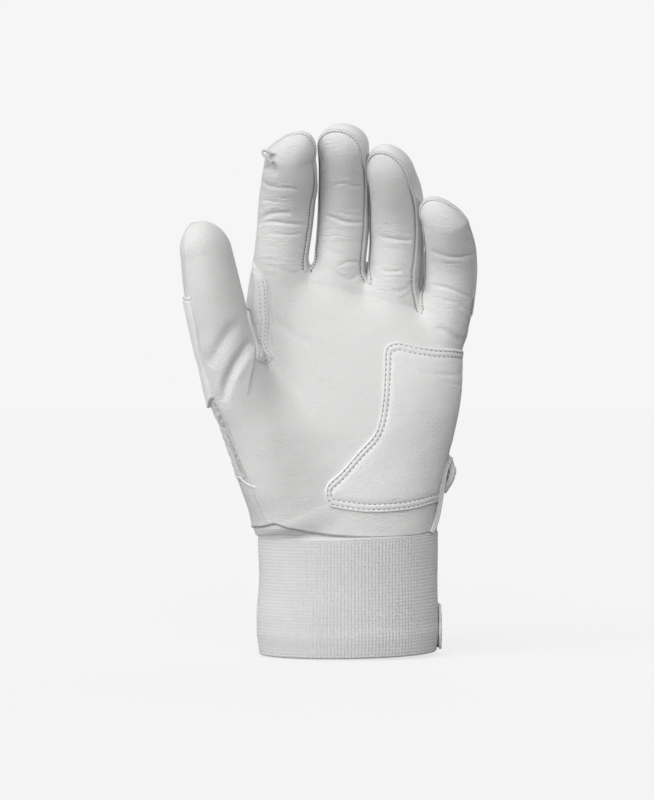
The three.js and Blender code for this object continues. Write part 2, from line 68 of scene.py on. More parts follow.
# Palm: a stack of rounded sections between the hem and the roots of the fingers
PALM_BREADTH, PALM_DEPTH, HEM_HEIGHT, PALM_LENGTH, KNUCKLE_DROP = 94.0, 42.0, 53.0, 117.0, 22.0
PALM_ROUNDNESS = 2 / 0.86
BACK_SEAM = 0.14 * PALM_DEPTH
# height, drop, left, right, front, back: shares of the palm's length, breadth and depth
PALM_SECTIONS = np.array([
    [-0.02, 0, -0.444, 0.396, 0.485, 0.49],
    [0.08, 0, -0.432, 0.414, 0.5, 0.49],
    [0.19, 0, -0.445, 0.432, 0.527, 0.48],
    [0.32, 0.05, -0.462, 0.464, 0.54, 0.47],
    [0.39, 0.08, -0.463, 0.484, 0.54, 0.465],
    [0.46, 0.1, -0.46, 0.505, 0.53, 0.46],
    [0.54, 0.15, -0.457, 0.521, 0.51, 0.45],
    [0.62, 0.2, -0.455, 0.526, 0.49, 0.44],
    [0.7, 0.32, -0.452, 0.515, 0.455, 0.42],
    [0.78, 0.45, -0.45, 0.52, 0.42, 0.4],
    [0.92, 0.85, -0.44, 0.55, 0.32, 0.32],
    [0.98, 1, -0.39, 0.5, 0.2, 0.2],
])

# Where the front panel ends on the left and on the right of a limb: share along it, half depths
SEAMS = {
    "index": (
        [[0, -0.3], [0.8, -0.3], [0.9, -0.25], [1, -0.1]],
        [[0, 0.42], [0.6, 0.42], [0.8, 0.3], [0.9, 0.25], [1, 0.27]],
    ),
    "middle": (
        [[0, 0.42], [0.6, 0.3], [1, 0.28]],
        [[0, 0.42], [0.6, 0.44], [0.8, 0.41], [0.9, 0.45], [1, 0.57]],
    ),
    "ring": (
        [[0, 0.42], [0.6, 0.42], [0.8, 0.4], [1, 0.43]],
        [[0, 0.4], [0.6, 0.46], [0.8, 0.48], [1, 0.47]],
    ),
    "little": (
        [[0, 0.42], [0.6, 0.4], [0.8, 0.44], [1, 0.45]],
        [[0, -0.15], [0.6, -0.2], [1, -0.17]],
    ),
    "thumb": (
        [[0, -0.2], [0.6, -0.15], [0.8, -0.18], [0.9, -0.14], [1, 0.02]],
        [[0, -0.42], [1, -0.42]],
    ),
}
BACK_SHARE = -0.42  # where the back panels of the fingers end, in half depths
# The gussets between the fronts and backs of the fingers
GUSSETS = {
    "index": ["right"],
    "middle": ["left", "right"],
    "ring": ["left", "right"],
    "little": ["left"],
    "thumb": [],
}
# Fingers and thumb: a root in shares of the palm, a lean to the side, a direction in which the
# limb bends, and tables of share along the limb against sway to the side, tilt in degrees, half
# width and half depth. back is how far the limb runs into the palm, tip is how long its dome is,
# and skew leans that dome.
FINGER_DEPTHS = [[0, 1], [0.5, 0.98], [0.7, 0.96], [0.85, 0.91], [1, 0.79]]
LIMBS = {
    "index": dict(
        root=(-0.32, -0.06, 1), lean=9, aim=-8, length=54.7, tip=12.3,
        half_width=12.2, half_depth=11, back=0.75, skew=0.41,
        sway=[[0, 0], [0.55, 0], [0.85, 1.3], [1, 1.4]],
        tilt=[[0, 6], [0.2, 8], [0.35, 17], [0.5, 29], [0.65, 39], [0.78, 48], [0.9, 47], [1, 40]],
        widths=[[0, 0.98], [0.3, 1], [0.5, 1.01], [0.75, 0.99], [0.9, 0.945], [1, 0.86]],
        depths=FINGER_DEPTHS,
    ),
    "middle": dict(
        root=(-0.041, -0.02, 0.991), lean=7.7, aim=-12.6, length=59, tip=11.4,
        half_width=11, half_depth=11, back=0.68, skew=0.02,
        sway=[[0, 0], [0.55, 0], [0.85, 0.4], [1, 0.6]],
        tilt=[[0, 6], [0.2, 8], [0.35, 16], [0.5, 28], [0.65, 36], [0.78, 46], [0.9, 48], [1, 42]],
        widths=[[0, 1.02], [0.3, 1.02], [0.5, 1.02], [0.75, 1], [0.9, 0.98], [1, 1]],
        depths=FINGER_DEPTHS,
    ),
    "ring": dict(
        root=(0.208, -0.04, 0.932), lean=9.3, aim=-23, length=55.5, tip=13.3,
        half_width=12, half_depth=11, back=0.7, skew=-0.05,
        sway=[[0, 0], [0.55, 0.3], [0.85, 1.2], [1, 0.7]],
        tilt=[[0, 7], [0.2, 9], [0.35, 18], [0.5, 29], [0.65, 38], [0.78, 48], [0.9, 50], [1, 45]],
        widths=[[0, 0.94], [0.3, 0.97], [0.5, 1], [0.75, 0.99], [0.9, 0.94], [1, 0.905]],
        depths=FINGER_DEPTHS,
    ),
    "little": dict(
        root=(0.46, -0.08, 0.829), lean=9.5, aim=-24, length=45.2, tip=11.4,
        half_width=10.9, half_depth=10.6, back=0.7, skew=-0.38,
        sway=[[0, 0], [0.55, 0.3], [0.85, 0.4], [1, 0.3]],
        tilt=[[0, 8], [0.2, 10], [0.35, 18], [0.5, 27], [0.62, 38], [0.75, 49], [0.88, 50], [1, 44]],
        widths=[[-0.7, 0.5], [-0.34, 0.6], [-0.12, 0.94], [0, 1], [0.3, 1.01], [0.5, 1],
                [0.75, 0.97], [0.9, 0.92], [1, 0.89]],
        depths=[[-0.7, 0.7], [-0.2, 0.9], *FINGER_DEPTHS],
    ),
    "thumb": dict(
        root=(-0.262, -0.24, 0.077), lean=-26.6, aim=40, length=121.5, tip=12.8,
        half_width=17, half_depth=14.5, back=0.0, skew=-0.02,
        sway=[[0, 1], [0.3, 0.8], [0.42, -0.8], [0.5, -2.3], [0.75, -2.2], [0.9, -0.8], [1, 1.2]],
        tilt=[[0, 6], [0.3, 11], [0.5, 15], [0.75, 19], [0.9, 18], [1, 17]],
        widths=[[0, 0.62], [0.14, 0.91], [0.28, 0.9], [0.4, 0.89], [0.52, 0.86], [0.6, 0.82], [0.7, 0.775],
                [0.8, 0.765], [0.9, 0.755], [1, 0.68]],
        depths=[[0, 0.5], [0.14, 0.85], [0.28, 1], [0.4, 0.98], [0.52, 0.9], [0.6, 0.85], [0.7, 0.8],
                [0.8, 0.8], [0.9, 0.77], [1, 0.7]],
    ),
}
FINGERS = ["index", "middle", "ring", "little"]
THUMB_CREASE = 0.75  # share along the thumb at which it flexes
TIP_ROUNDNESS = 2.15
SINK_DEPTH = 6.0  # how far a limb's inner end tapers off in the palm

# The camera of the photograph, level and square to the palm, and the frame that it fills
EYE = np.array([-9.24, -1000.0, 111.9])
FOCAL, PICTURE_WIDTH, PICTURE_HEIGHT = 2272.7, 654, 800
MM_PER_PIXEL = 0.44  # at the middle of the glove


def rays(pixels):
    """Unit directions from the eye through places in the picture."""
    pixels = np.asarray(pixels, float)
    across = (pixels[:, 0] - PICTURE_WIDTH / 2) / FOCAL
    up = (PICTURE_HEIGHT / 2 - pixels[:, 1]) / FOCAL
    d = np.stack([across, np.ones(len(pixels)), up], 1)
    return d / np.linalg.norm(d, axis=1)[:, None]


def seen(p):
    """Places in the picture of points in the hand frame."""
    q = p - EYE
    across, up = FOCAL * q[:, 0] / q[:, 1], FOCAL * q[:, 2] / q[:, 1]
    return np.stack([PICTURE_WIDTH / 2 + across, PICTURE_HEIGHT / 2 - up], 1)


TABLE_ROWS, TABLE_SPREAD = 161, 0.05


def smooth_rows(rows, spread=TABLE_SPREAD):
    """A table with its corners rounded: many rows, each a weighted mean of those near it."""
    rows = np.asarray(rows, float)
    share = np.linspace(rows[0, 0], rows[-1, 0], TABLE_ROWS)
    pad = int(round(spread / (share[1] - share[0])) * 3)
    weights = np.exp(-0.5 * (np.arange(-pad, pad + 1) / max(pad / 3, 1e-6)) ** 2)
    weights /= weights.sum()
    columns = [share]
    for i in range(1, rows.shape[1]):
        values = np.interp(share, rows[:, 0], rows[:, i])
        before = 2 * values[0] - values[pad:0:-1]
        after = 2 * values[-1] - values[-2:-pad - 2:-1]
        columns.append(np.convolve(np.concatenate([before, values, after]), weights, "valid"))
    return np.stack(columns, 1)


def step_up(x, low, high):
    """A smooth step from 0 to 1 between two values."""
    t = np.clip((x - low) / (high - low), 0, 1)
    return t * t * (3 - 2 * t)


def table(rows, share):
    """The value of a table of two columns at a share, between its rows."""
    rows = np.asarray(rows, float)
    return np.interp(share, rows[:, 0], rows[:, 1])


class Limb:
    """A tapered tube with an oval section that bends in one plane and ends in a dome."""

    def __init__(self, name, root, lean, aim, length, tip, half_width, half_depth, back, skew, sway, tilt,
                 widths, depths):
        self.name, self.length, self.tip, self.back, self.skew = name, length, tip, back, skew
        self.half_width, self.half_depth = half_width, half_depth
        self.widths, self.depths, self.sway = [smooth_rows(rows) for rows in (widths, depths, sway)]
        self.widths, self.depths = [self.continued(rows) for rows in (self.widths, self.depths)]
        palm_size = np.array([PALM_BREADTH, PALM_DEPTH, PALM_LENGTH])
        self.root = root * palm_size + [0, 0, HEM_HEIGHT]
        lean, aim = math.radians(lean), math.radians(aim)
        self.up = np.array([math.sin(lean), 0, math.cos(lean)])
        ahead = np.array([math.sin(aim), -math.cos(aim), 0])
        ahead -= self.up * (ahead @ self.up)
        self.ahead = ahead / np.linalg.norm(ahead)
        self.side = np.cross(self.up, self.ahead)
        self.t = np.linspace(-back, 1, 240)
        tilt = smooth_rows([[-back, tilt[0][1]], *tilt])
        self.angle = np.radians(table(tilt, self.t))
        step = (self.t[1] - self.t[0]) * length
        middle = (self.angle[1:] + self.angle[:-1]) / 2
        self.a = np.concatenate([[0], np.cumsum(np.cos(middle) * step)])
        self.b = np.concatenate([[0], np.cumsum(np.sin(middle) * step)])
        self.a -= np.interp(0, self.t, self.a)
        self.b -= np.interp(0, self.t, self.b)

    @staticmethod
    def continued(rows):
        """A table that keeps its last slope past its end, where the dome is."""
        (a, b), (c, d) = rows[-4], rows[-1]
        return np.concatenate([rows, [[c + 0.4, max(d + 0.4 * (d - b) / (c - a), 0.4 * d)]]])

    def sizes(self, t, past=0.0):
        """Half the width and depth, at a share along the limb or at a distance past its end."""
        t = t + np.maximum(past, 0) / self.length
        return self.half_width * table(self.widths, t), self.half_depth * table(self.depths, t)

    def seam_shares(self, t, back=False):
        """The front panel's edge on the left and on the right, or the back panel's, in half depths."""
        sides = [table(rows, t) for rows in SEAMS[self.name]]
        if back:
            gone = step_up(t, 0.5, 0.95)
            for side in GUSSETS[self.name]:
                i = ("left", "right").index(side)
                sides[i] = BACK_SHARE * (1 - gone) + (sides[i] - 0.01) * gone
        return sides

    def seam(self, t, u, back=False, past=0.0):
        """How far to the palm a panel's edge is."""
        half_width, half_depth = self.sizes(t, past)
        left, right = self.seam_shares(t, back)
        return half_depth * (left + (right - left) * np.clip(0.5 + 0.5 * u / half_width, 0, 1))

    def before_seam(self, p, back=False):
        """How far points are on the palm's side of a panel's edge."""
        t, u, v, w = self.local(p)
        past = np.where(t >= 1, np.maximum(w, 0), 0)
        return v - self.seam(t, u - self.skew * past, back, past)

    def seam_path(self, low_left, low_right, back=False, count=60):
        """The seam up the left side, round the tip and down the right, between two shares."""
        parts = []
        for side, low in ((-1, low_left), (1, low_right)):
            t = np.linspace(low, 1, count)
            half_width, half_depth = self.sizes(t)
            share = self.seam_shares(t, back)[(side + 1) // 2]
            parts.append(self.point(t, side * half_width * np.sqrt(1 - share ** 2), share * half_depth))
        left, right = self.seam_shares(1.0, back)
        phi = np.linspace(math.pi, 0, 26)[1:-1]
        share = left + (right - left) * (0.5 + 0.5 * np.cos(phi))
        k = np.sqrt(1 - share ** 2)
        past = self.tip * (np.sin(phi) * k) ** (2 / TIP_ROUNDNESS)
        half_width, half_depth = self.sizes(1.0, past)
        over = self.point(1.0, half_width * k * np.cos(phi) + self.skew * past, share * half_depth, past)
        return np.concatenate([parts[0], over, parts[1][::-1]])

    def local(self, p):
        """Share along the limb, and distances to the side, to the palm and past the nearest section."""
        q = p - self.root
        a, b, u = q @ self.up, q @ self.ahead, q @ self.side
        t = np.interp(a, self.a, self.t)
        for _ in range(6):
            angle = np.interp(t, self.t, self.angle)
            da, db = a - np.interp(t, self.t, self.a), b - np.interp(t, self.t, self.b)
            past = da * np.cos(angle) + db * np.sin(angle)
            t = np.clip(t + 0.9 * past / self.length, -self.back, 1)
        angle = np.interp(t, self.t, self.angle)
        da, db = a - np.interp(t, self.t, self.a), b - np.interp(t, self.t, self.b)
        u = u - table(self.sway, t)
        return t, u, db * np.cos(angle) - da * np.sin(angle), da * np.cos(angle) + db * np.sin(angle)

    def point(self, t, u, v, w=0.0):
        """The point at a share along the limb and those distances from its centreline."""
        t, u, v, w = np.broadcast_arrays(*[np.asarray(x, float) for x in (t, u, v, w)])
        angle = np.interp(t, self.t, self.angle)[..., None]
        a, b = np.interp(t, self.t, self.a)[..., None], np.interp(t, self.t, self.b)[..., None]
        along = np.cos(angle) * self.up + np.sin(angle) * self.ahead
        palmar = np.cos(angle) * self.ahead - np.sin(angle) * self.up
        u = u + table(self.sway, t)
        return (self.root + a * self.up + b * self.ahead + u[..., None] * self.side
                + v[..., None] * palmar + w[..., None] * along)

    def field(self, p):
        """About the distance outside the limb's surface."""
        t, u, v, w = self.local(p)
        half_width, half_depth = self.sizes(t, np.where(t >= 1, w, 0))
        inner_end = np.where(t <= -self.back, np.minimum(w, 0) / SINK_DEPTH, 0)
        end = np.where(t >= 1, np.maximum(w, 0) / self.tip, inner_end)
        u = np.where(t >= 1, u - self.skew * np.maximum(w, 0), u)
        x, y = u / half_width, v / half_depth
        end = np.abs(end) ** (TIP_ROUNDNESS / 2)
        r = np.sqrt(x * x + y * y + end * end) + 1e-9
        slope = np.sqrt((x / half_width) ** 2 + (y / half_depth) ** 2 + (end / self.tip) ** 2) / r
        return (r - 1) / np.maximum(slope, 0.02)


limbs = {name: Limb(name, **numbers) for name, numbers in LIMBS.items()}
thumb = limbs["thumb"]
PALM_TABLE = smooth_rows(PALM_SECTIONS, 0.04)
PALM_CROWN = 7.0  # how far the palm's top is rounded off above its last section


def palm_share(p):
    """How far up the palm a point is, along sections that drop towards the little finger."""
    heights, drops, lefts = PALM_TABLE[:, 0], PALM_TABLE[:, 1], PALM_TABLE[:, 2]
    h = (p[:, 2] - HEM_HEIGHT) / PALM_LENGTH
    for _ in range(6):
        drop = np.interp(h, heights, drops) * KNUCKLE_DROP
        fall = drop * (p[:, 0] / PALM_BREADTH - np.interp(h, heights, lefts))
        h = (p[:, 2] - HEM_HEIGHT + fall) / PALM_LENGTH
    return h


def palm_field(p):
    """About the distance outside the bare palm."""
    heights = PALM_TABLE[:, 0]
    h = palm_share(p)
    left, right, front, back = [np.interp(h, heights, PALM_TABLE[:, i]) for i in (2, 3, 4, 5)]
    middle, half_width = (left + right) / 2 * PALM_BREADTH, (right - left) / 2 * PALM_BREADTH
    half_depth = np.where(p[:, 1] < 0, front, back) * PALM_DEPTH
    above = np.maximum(h - heights[-1], 0) * PALM_LENGTH / PALM_CROWN
    e = PALM_ROUNDNESS
    x, y = np.abs(p[:, 0] - middle) / half_width, np.abs(p[:, 1]) / half_depth
    r = (x ** e + y ** e + above ** 2) ** (1 / e) + 1e-9
    gradient = [x ** (e - 1) / half_width, y ** (e - 1) / half_depth, above / PALM_CROWN]
    slope = r ** (1 - e) * np.sqrt(sum(part ** 2 for part in gradient))
    return (r - 1) / np.maximum(slope, 0.012)


def merged(a, b, k):
    """Two fields joined with a fillet."""
    h = np.clip(0.5 + 0.5 * (b - a) / k, 0, 1)
    return b * (1 - h) + a * h - k * h * (1 - h)


# The webs between the fingers, by the picture's place of each crotch
CROTCHES = {
    ("index", "middle"): (306.0, 271.5),
    ("middle", "ring"): (370.0, 283.0),
    ("ring", "little"): (421.0, 313.0),
}
# The picture's place of the top, the depth and the size of each web
WEBS = [
    *[(pixel, 3.0, (4.5, 8.5, 13.0)) for pixel in CROTCHES.values()],
    ((367, 262), 8.0, (4.0, 5.0, 22.0)), ((423, 250), 7.0, (4.5, 5.0, 30.0)),
]


def web_field(p):
    """About the distance outside the webs."""
    best = np.full(len(p), 1e3)
    for pixel, depth, size in WEBS:
        d = rays([pixel])[0]
        top = EYE + d * ((depth - EYE[1]) / d[1])
        q = (p - top + [0, 0, size[2]]) / size
        r = np.sqrt((q ** 2).sum(1)) + 1e-9
        best = np.minimum(best, (r - 1) * r / (np.sqrt(((q / size) ** 2).sum(1)) + 1e-9))
    return best


def base_field(p):
    """The palm with its thumb and the webs, without the fingers."""
    fillet = 20.0 - 13.0 * step_up(p[:, 2], 95, 132)
    return merged(merged(palm_field(p), thumb.field(p), fillet), web_field(p), 4.0)


def hand_field(p):
    """The whole bare hand."""
    fingers = limbs["index"].field(p)
    for name in FINGERS[1:]:
        fingers = merged(fingers, limbs[name].field(p), 1.5)
    return merged(base_field(p), fingers, 6.0)


def finger_field(name):
    """The palm with its thumb and one finger alone."""
    return lambda p: merged(base_field(p), limbs[name].field(p), 6.0)


fields = {name: finger_field(name) for name in FINGERS}


PROBE = 0.05  # the step over which a field's slope is taken
FRONT_LIMIT, BACK_LIMIT = -75.0, 45.0  # between which depths the whole hand lies


def normals_of(field, p):
    """Unit vectors out of a field's surface."""
    g = np.zeros_like(p)
    for axis in range(3):
        step = np.zeros(3)
        step[axis] = PROBE
        g[:, axis] = field(p + step) - field(p - step)
    return g / (np.linalg.norm(g, axis=1)[:, None] + 1e-12)


def settle(field, p, rounds=3):
    """Moves points onto the surface of a field, and gives its normals there."""
    for _ in range(rounds):
        n = normals_of(field, p)
        slope = (field(p + PROBE * n) - field(p - PROBE * n)) / (2 * PROBE)
        p = p - n * (field(p) / np.maximum(slope, 0.3))[:, None]
    return p, normals_of(field, p)


def through(field, pixels):
    """Where the picture's places meet a field's surface; past its outline, the nearest surface."""
    d = rays(pixels)
    t = (FRONT_LIMIT - EYE[1]) / d[:, 1]
    nearest, near_t = np.full(len(t), 1e3), t.copy()
    for _ in range(70):
        value = field(EYE + d * t[:, None])
        closer = value < nearest
        nearest, near_t = np.where(closer, value, nearest), np.where(closer, t, near_t)
        t = np.where(value > 0.01, t + np.clip(value * 0.7, 0.05, 6), t)
        t = np.minimum(t, (BACK_LIMIT - EYE[1]) / d[:, 1])
    return settle(field, EYE + d * near_t[:, None])


def marched(field, base, out, start, end, longest):
    """Where rays from a distance out towards their base meet a field."""
    r = np.full(len(base), start)
    for _ in range(60):
        value = field(base + out * r[:, None])
        r = np.where(value > 0.01, r - np.clip(value * 0.7, 0.04, longest), r)
        r = np.maximum(r, end)
    return settle(field, base + out * r[:, None], 2)


def around(field, angle, z):
    """Where rays level with the floor, from outside towards the upright axis, meet a field."""
    none = np.zeros_like(angle)
    out = np.stack([np.cos(angle), np.sin(angle), none], 1)
    return marched(field, np.stack([none, none, z], 1), out, 80.0, 2.0, 6.0)


def from_behind(field, x, z):
    """Where level rays from behind the hand meet a field."""
    base = np.stack([x, np.zeros_like(x), z], 1)
    return marched(field, base, np.array([0.0, 1.0, 0.0]), BACK_LIMIT, -40.0, 5.0)


STEP = 0.8  # the grid that the skin is made on
MOST_AT_ONCE = 200000  # how many points a field is asked for in one go


def refined(coarse, shape):
    """A coarse grid with each of its cells parted in 3 x 3 x 3, cut to a shape."""
    for axis in range(3):
        coarse = np.repeat(coarse, 3, axis)
    return coarse[:shape[0], :shape[1], :shape[2]]


def surface(field, low, high):
    """A closed quad surface of a field on a grid that all pieces share: points, quads and the
    middle of the grid edge that each quad stands on."""
    first = np.floor(np.array(low) / STEP).astype(int)
    shape = np.ceil(np.array(high) / STEP).astype(int) - first + 1
    coarse_shape = shape // 3 + 2
    grid = np.stack(np.meshgrid(*[np.arange(n) for n in coarse_shape], indexing="ij"), -1).reshape(-1, 3)
    coarse = field((first + grid * 3) * STEP).reshape(coarse_shape)
    values = refined(np.where(coarse < 0, -9.0, 9.0), shape)
    near = np.abs(coarse) < 5.5 * STEP * 1.3
    spread = np.zeros_like(near)
    for i in (0, 1):
        for j in (0, 1):
            for k in (0, 1):
                part = near[i:, j:, k:]
                spread[:part.shape[0], :part.shape[1], :part.shape[2]] |= part
    index = np.argwhere(refined(spread, shape))
    batches = np.array_split(index, len(index) // MOST_AT_ONCE + 1)
    fine = np.concatenate([field((first + part) * STEP) for part in batches])
    values[index[:, 0], index[:, 1], index[:, 2]] = fine

    counts = np.array(values.shape) - 1
    total, count = np.zeros((*counts, 3), np.float32), np.zeros(counts, np.float32)
    for axis in range(3):
        others = [i for i in range(3) if i != axis]
        a = np.moveaxis(values, axis, 0)[:-1]
        b = np.moveaxis(values, axis, 0)[1:]
        crossing = (a < 0) != (b < 0)
        share = np.where(crossing, a / np.where(crossing, a - b, 1), 0)
        base = np.moveaxis(np.indices(values.shape, dtype=np.float32), axis + 1, 1)[:, :-1]
        for i in (0, 1):
            for j in (0, 1):
                cut = (slice(None), slice(i, i + counts[others[0]]), slice(j, j + counts[others[1]]))
                hit = crossing[cut]
                for k in range(3):
                    place = base[k][cut] + (share[cut] if k == axis else 0)
                    target = np.moveaxis(total[..., k], axis, 0)
                    target += np.where(hit, place, 0)
                target = np.moveaxis(count, axis, 0)
                target += hit
    used = count > 0
    number = np.full(counts, -1)
    number[used] = np.arange(used.sum())
    points = (total[used] / count[used][:, None] + first) * STEP

    quads, stands = [], []
    for axis in range(3):
        others = [i for i in range(3) if i != axis]
        a, b = np.moveaxis(values, axis, 0)[:-1], np.moveaxis(values, axis, 0)[1:]
        crossing = (a < 0) != (b < 0)
        crossing[:, 0] = crossing[:, -1] = False
        crossing[:, :, 0] = crossing[:, :, -1] = False
        place = np.argwhere(crossing)
        moved = np.moveaxis(number, axis, 0)
        i, j, k = place.T
        ring = np.stack([moved[i, j - 1, k - 1], moved[i, j, k - 1], moved[i, j, k], moved[i, j - 1, k]], 1)
        outward = (a[i, j, k] < 0) == (axis != 1)
        ring = np.where(outward[:, None], ring, ring[:, ::-1])
        middle = np.zeros((len(place), 3))
        middle[:, axis], middle[:, others[0]], middle[:, others[1]] = i + 0.5, j, k
        quads.append(ring)
        stands.append((middle + first) * STEP)
    quads, stands = np.concatenate(quads), np.concatenate(stands)
    good = (quads >= 0).all(1)
    return points, quads[good], stands[good]


def kept(quads, keep):
    """Only those quads, and the points that they use."""
    quads = quads[keep]
    used, inverse = np.unique(quads, return_inverse=True)
    return used, inverse.reshape(quads.shape)


def divided(points, quads):
    """Each quad in four, with new points at the middles of edges and quads."""
    edges = np.stack([quads, np.roll(quads, -1, 1)], -1).reshape(-1, 2)
    edges.sort(axis=1)
    key = edges[:, 0].astype(np.int64) * (len(points) + 1) + edges[:, 1]
    unique, first, inverse = np.unique(key, return_index=True, return_inverse=True)
    middles = points[edges[first]].mean(1)
    centres = points[quads].mean(1)
    m = len(points) + inverse.reshape(-1, 4)
    c = len(points) + len(middles) + np.arange(len(quads))
    parts = [np.stack([quads[:, i], m[:, i], c, m[:, i - 1]], 1) for i in range(4)]
    return np.concatenate([points, middles, centres]), np.stack(parts, 1).reshape(-1, 4)


MOST_CORNERS = 8


def cut(data, faces, value):
    """Cuts faces along the line where a function of the points is zero. Each face is a row of
    corner numbers, filled up with -1. Gives the points, the faces above zero and those below."""
    values = value(data[:, :3])
    if faces.shape[1] < MOST_CORNERS:
        faces = np.concatenate([faces, np.full((len(faces), MOST_CORNERS - faces.shape[1]), -1)], 1)
    values = np.where(np.abs(values) < 1e-3, 1e-3, values)
    unused, low = faces < 0, values[faces] < 0
    all_low, all_high = (low | unused).all(1), (~low | unused).all(1)
    made, known, sides = [], {}, ([], [])
    for face in faces[~all_low & ~all_high].tolist():
        face = [i for i in face if i >= 0]
        parts = ([], [])
        for a, b in zip(face, face[1:] + face[:1]):
            parts[int(values[a] < 0)].append(a)
            if (values[a] < 0) != (values[b] < 0):
                a, b = min(a, b), max(a, b)
                if (a, b) not in known:
                    known[a, b] = len(data) + len(made)
                    share = values[a] / (values[a] - values[b])
                    made.append(data[a] * (1 - share) + data[b] * share)
                parts[0].append(known[a, b])
                parts[1].append(known[a, b])
        for side, part in zip(sides, parts):
            if 3 <= len(part) <= MOST_CORNERS:
                side.append(part + [-1] * (MOST_CORNERS - len(part)))
    if made:
        data = np.concatenate([data, made])
    high, low = [np.concatenate([faces[mask], np.array(side, int).reshape(-1, MOST_CORNERS)])
                 for mask, side in zip((all_high, all_low), sides)]
    return data, high, low


def face_middles(data, faces):
    """The middle of each face."""
    used = (faces >= 0)[..., None]
    return (data[faces][..., :3] * used).sum(1) / used.sum(1)


def vertex_normals(points, quads):
    """The normal of each point, from the quads round it."""
    p = points[quads]
    n = np.cross(p[:, 2] - p[:, 0], p[:, 3] - p[:, 1])
    total = np.zeros_like(points)
    for i in range(4):
        np.add.at(total, quads[:, i], n)
    return total / (np.linalg.norm(total, axis=1)[:, None] + 1e-12)


# Folds and creases, drawn in the picture: places, depth in millimetres and width in pixels
CREASES = [
    # index
    ([(263, 181), (268, 185), (277, 187.8), (288, 188.3), (300, 190.5)], 0.55, 1.9),
    ([(262, 200), (273, 201.5), (285, 203)], 0.22, 1.6),
    ([(258, 226), (261.5, 219.5), (267, 215.5), (276, 213.2), (291, 212.6)], 0.85, 2.4),
    ([(259, 224), (267, 222), (277.5, 222.4), (291, 224.1), (306, 224.7)], 0.7, 1.9),
    ([(268, 233), (281, 234.5), (294, 235), (303, 233.3)], 0.4, 1.8),
    ([(264, 265), (277, 268.6), (288, 272.5), (301, 276)], 0.3, 2.4),
    ([(262, 258), (275, 261), (290, 262), (301, 261)], 0.22, 2.0),
    ([(265, 166), (271, 170), (278, 173)], 0.8, 4.5),
    # middle
    ([(330, 186), (343, 183.4), (352, 186.3), (364, 186.6)], 0.32, 1.8),
    ([(325, 215.5), (333, 217.8), (344.5, 222), (357, 223), (364, 221.5)], 0.75, 2.1),
    ([(334, 210.5), (348, 214.6), (362, 216)], 0.25, 1.8),
    ([(325, 249.5), (336, 253.5), (347, 254)], 0.22, 2.0),
    ([(338, 266), (347, 262.6), (357, 262.4), (364, 264.5)], 0.5, 2.0),
    ([(332, 270), (342, 277), (351, 279.5), (360, 273), (364, 268)], 0.35, 2.6),
    # ring
    ([(378, 236), (389, 238.8), (404, 240.7), (413, 240)], 0.65, 2.1),
    ([(380, 247), (392, 249), (405, 250)], 0.2, 1.8),
    ([(381, 270), (389, 271.5), (403, 271.3)], 0.5, 1.9),
    ([(386, 286), (397, 291.5), (406, 289), (413, 281)], 0.35, 2.6),
    ([(398, 300), (406, 296), (413, 290)], 0.25, 1.8),
    # little
    ([(431, 251), (445, 256), (460, 257.4), (473, 254)], 0.55, 2.1),
    ([(430, 262), (445, 264), (462, 264)], 0.2, 1.8),
    ([(431, 285), (447, 288), (461, 293.5), (473, 299)], 0.5, 2.1),
    ([(430, 297), (444, 300), (458, 305), (471, 312)], 0.22, 2.0),
    ([(436, 327), (448, 333), (462, 342)], 1.0, 4.0),
    # thumb
    ([(250, 341), (241.5, 355), (231.5, 372), (226, 386), (223, 402)], 1.9, 5.0),
    ([(236, 322), (226, 337), (216, 353), (209, 366)], 1.1, 6.5),
    ([(249, 352), (243, 366), (238, 380)], -0.4, 4.5),
    # beside the crotch patch
    ([(263, 277), (268, 291), (269.5, 309), (270.5, 322), (269.5, 335), (271.5, 347)], 1.0, 1.6),
    # palm
    ([(272, 319), (290, 331), (312, 346)], 0.5, 5.0),
    ([(284, 368), (293, 392), (308, 418)], 0.4, 7.0),
    ([(402, 365), (416, 371), (430, 374), (449, 375.4), (462, 374)], 0.4, 2.4),
    ([(436, 380), (450, 384), (463, 386)], 0.2, 2.0),
    ([(388, 360), (400, 362), (412, 366)], 0.2, 2.2),
]

# Folds that stand higher on their left: places, height in millimetres and width in pixels
LAPS = [([(253.5, 334), (254.5, 345), (253.5, 358), (251.5, 372), (249.5, 386), (247, 402)], 1.5, 8.0)]
# How far down the picture each finger's leather stays smooth, by place across
SMOOTH_ABOVE = [(250, 176), (319, 176), (320, 173), (369, 173), (370, 216), (421, 216), (422, 240),
                (480, 240)]


def lengths_along(path):
    """The length of a path up to each of its points."""
    return np.concatenate([[0], np.cumsum(np.linalg.norm(np.diff(path, axis=0), axis=1))])


def curve(points, step):
    """Evenly spaced points on a smooth curve through the given ones."""
    points = np.asarray(points, float)
    ends = np.concatenate([[2 * points[0] - points[1]], points, [2 * points[-1] - points[-2]]])
    parts = []
    for i in range(1, len(ends) - 2):
        a, b, c, d = ends[i - 1:i + 3]
        t = np.linspace(0, 1, 24, endpoint=False)[:, None]
        bend = (2 * a - 5 * b + 4 * c - d) * t ** 2 + (3 * b - a - 3 * c + d) * t ** 3
        parts.append(0.5 * (2 * b + (c - a) * t + bend))
    dense = np.concatenate([*parts, points[-1:]])
    gone = lengths_along(dense)
    count = max(2, int(round(gone[-1] / step)) + 1)
    at = np.linspace(0, gone[-1], count)
    return np.stack([np.interp(at, gone, dense[:, i]) for i in range(points.shape[1])], 1)


def hashed(cell, seed):
    """A number from -1 to 1 for each cell of a grid, always the same."""
    n = cell[..., 0] * 374761393 + cell[..., 1] * 668265263 + cell[..., 2] * 2147483647
    n = n + seed * 1274126177
    n = (n ^ (n >> 13)) * 1274126177
    n = n ^ (n >> 16)
    return (n & 0xFFFF) / 32767.5 - 1


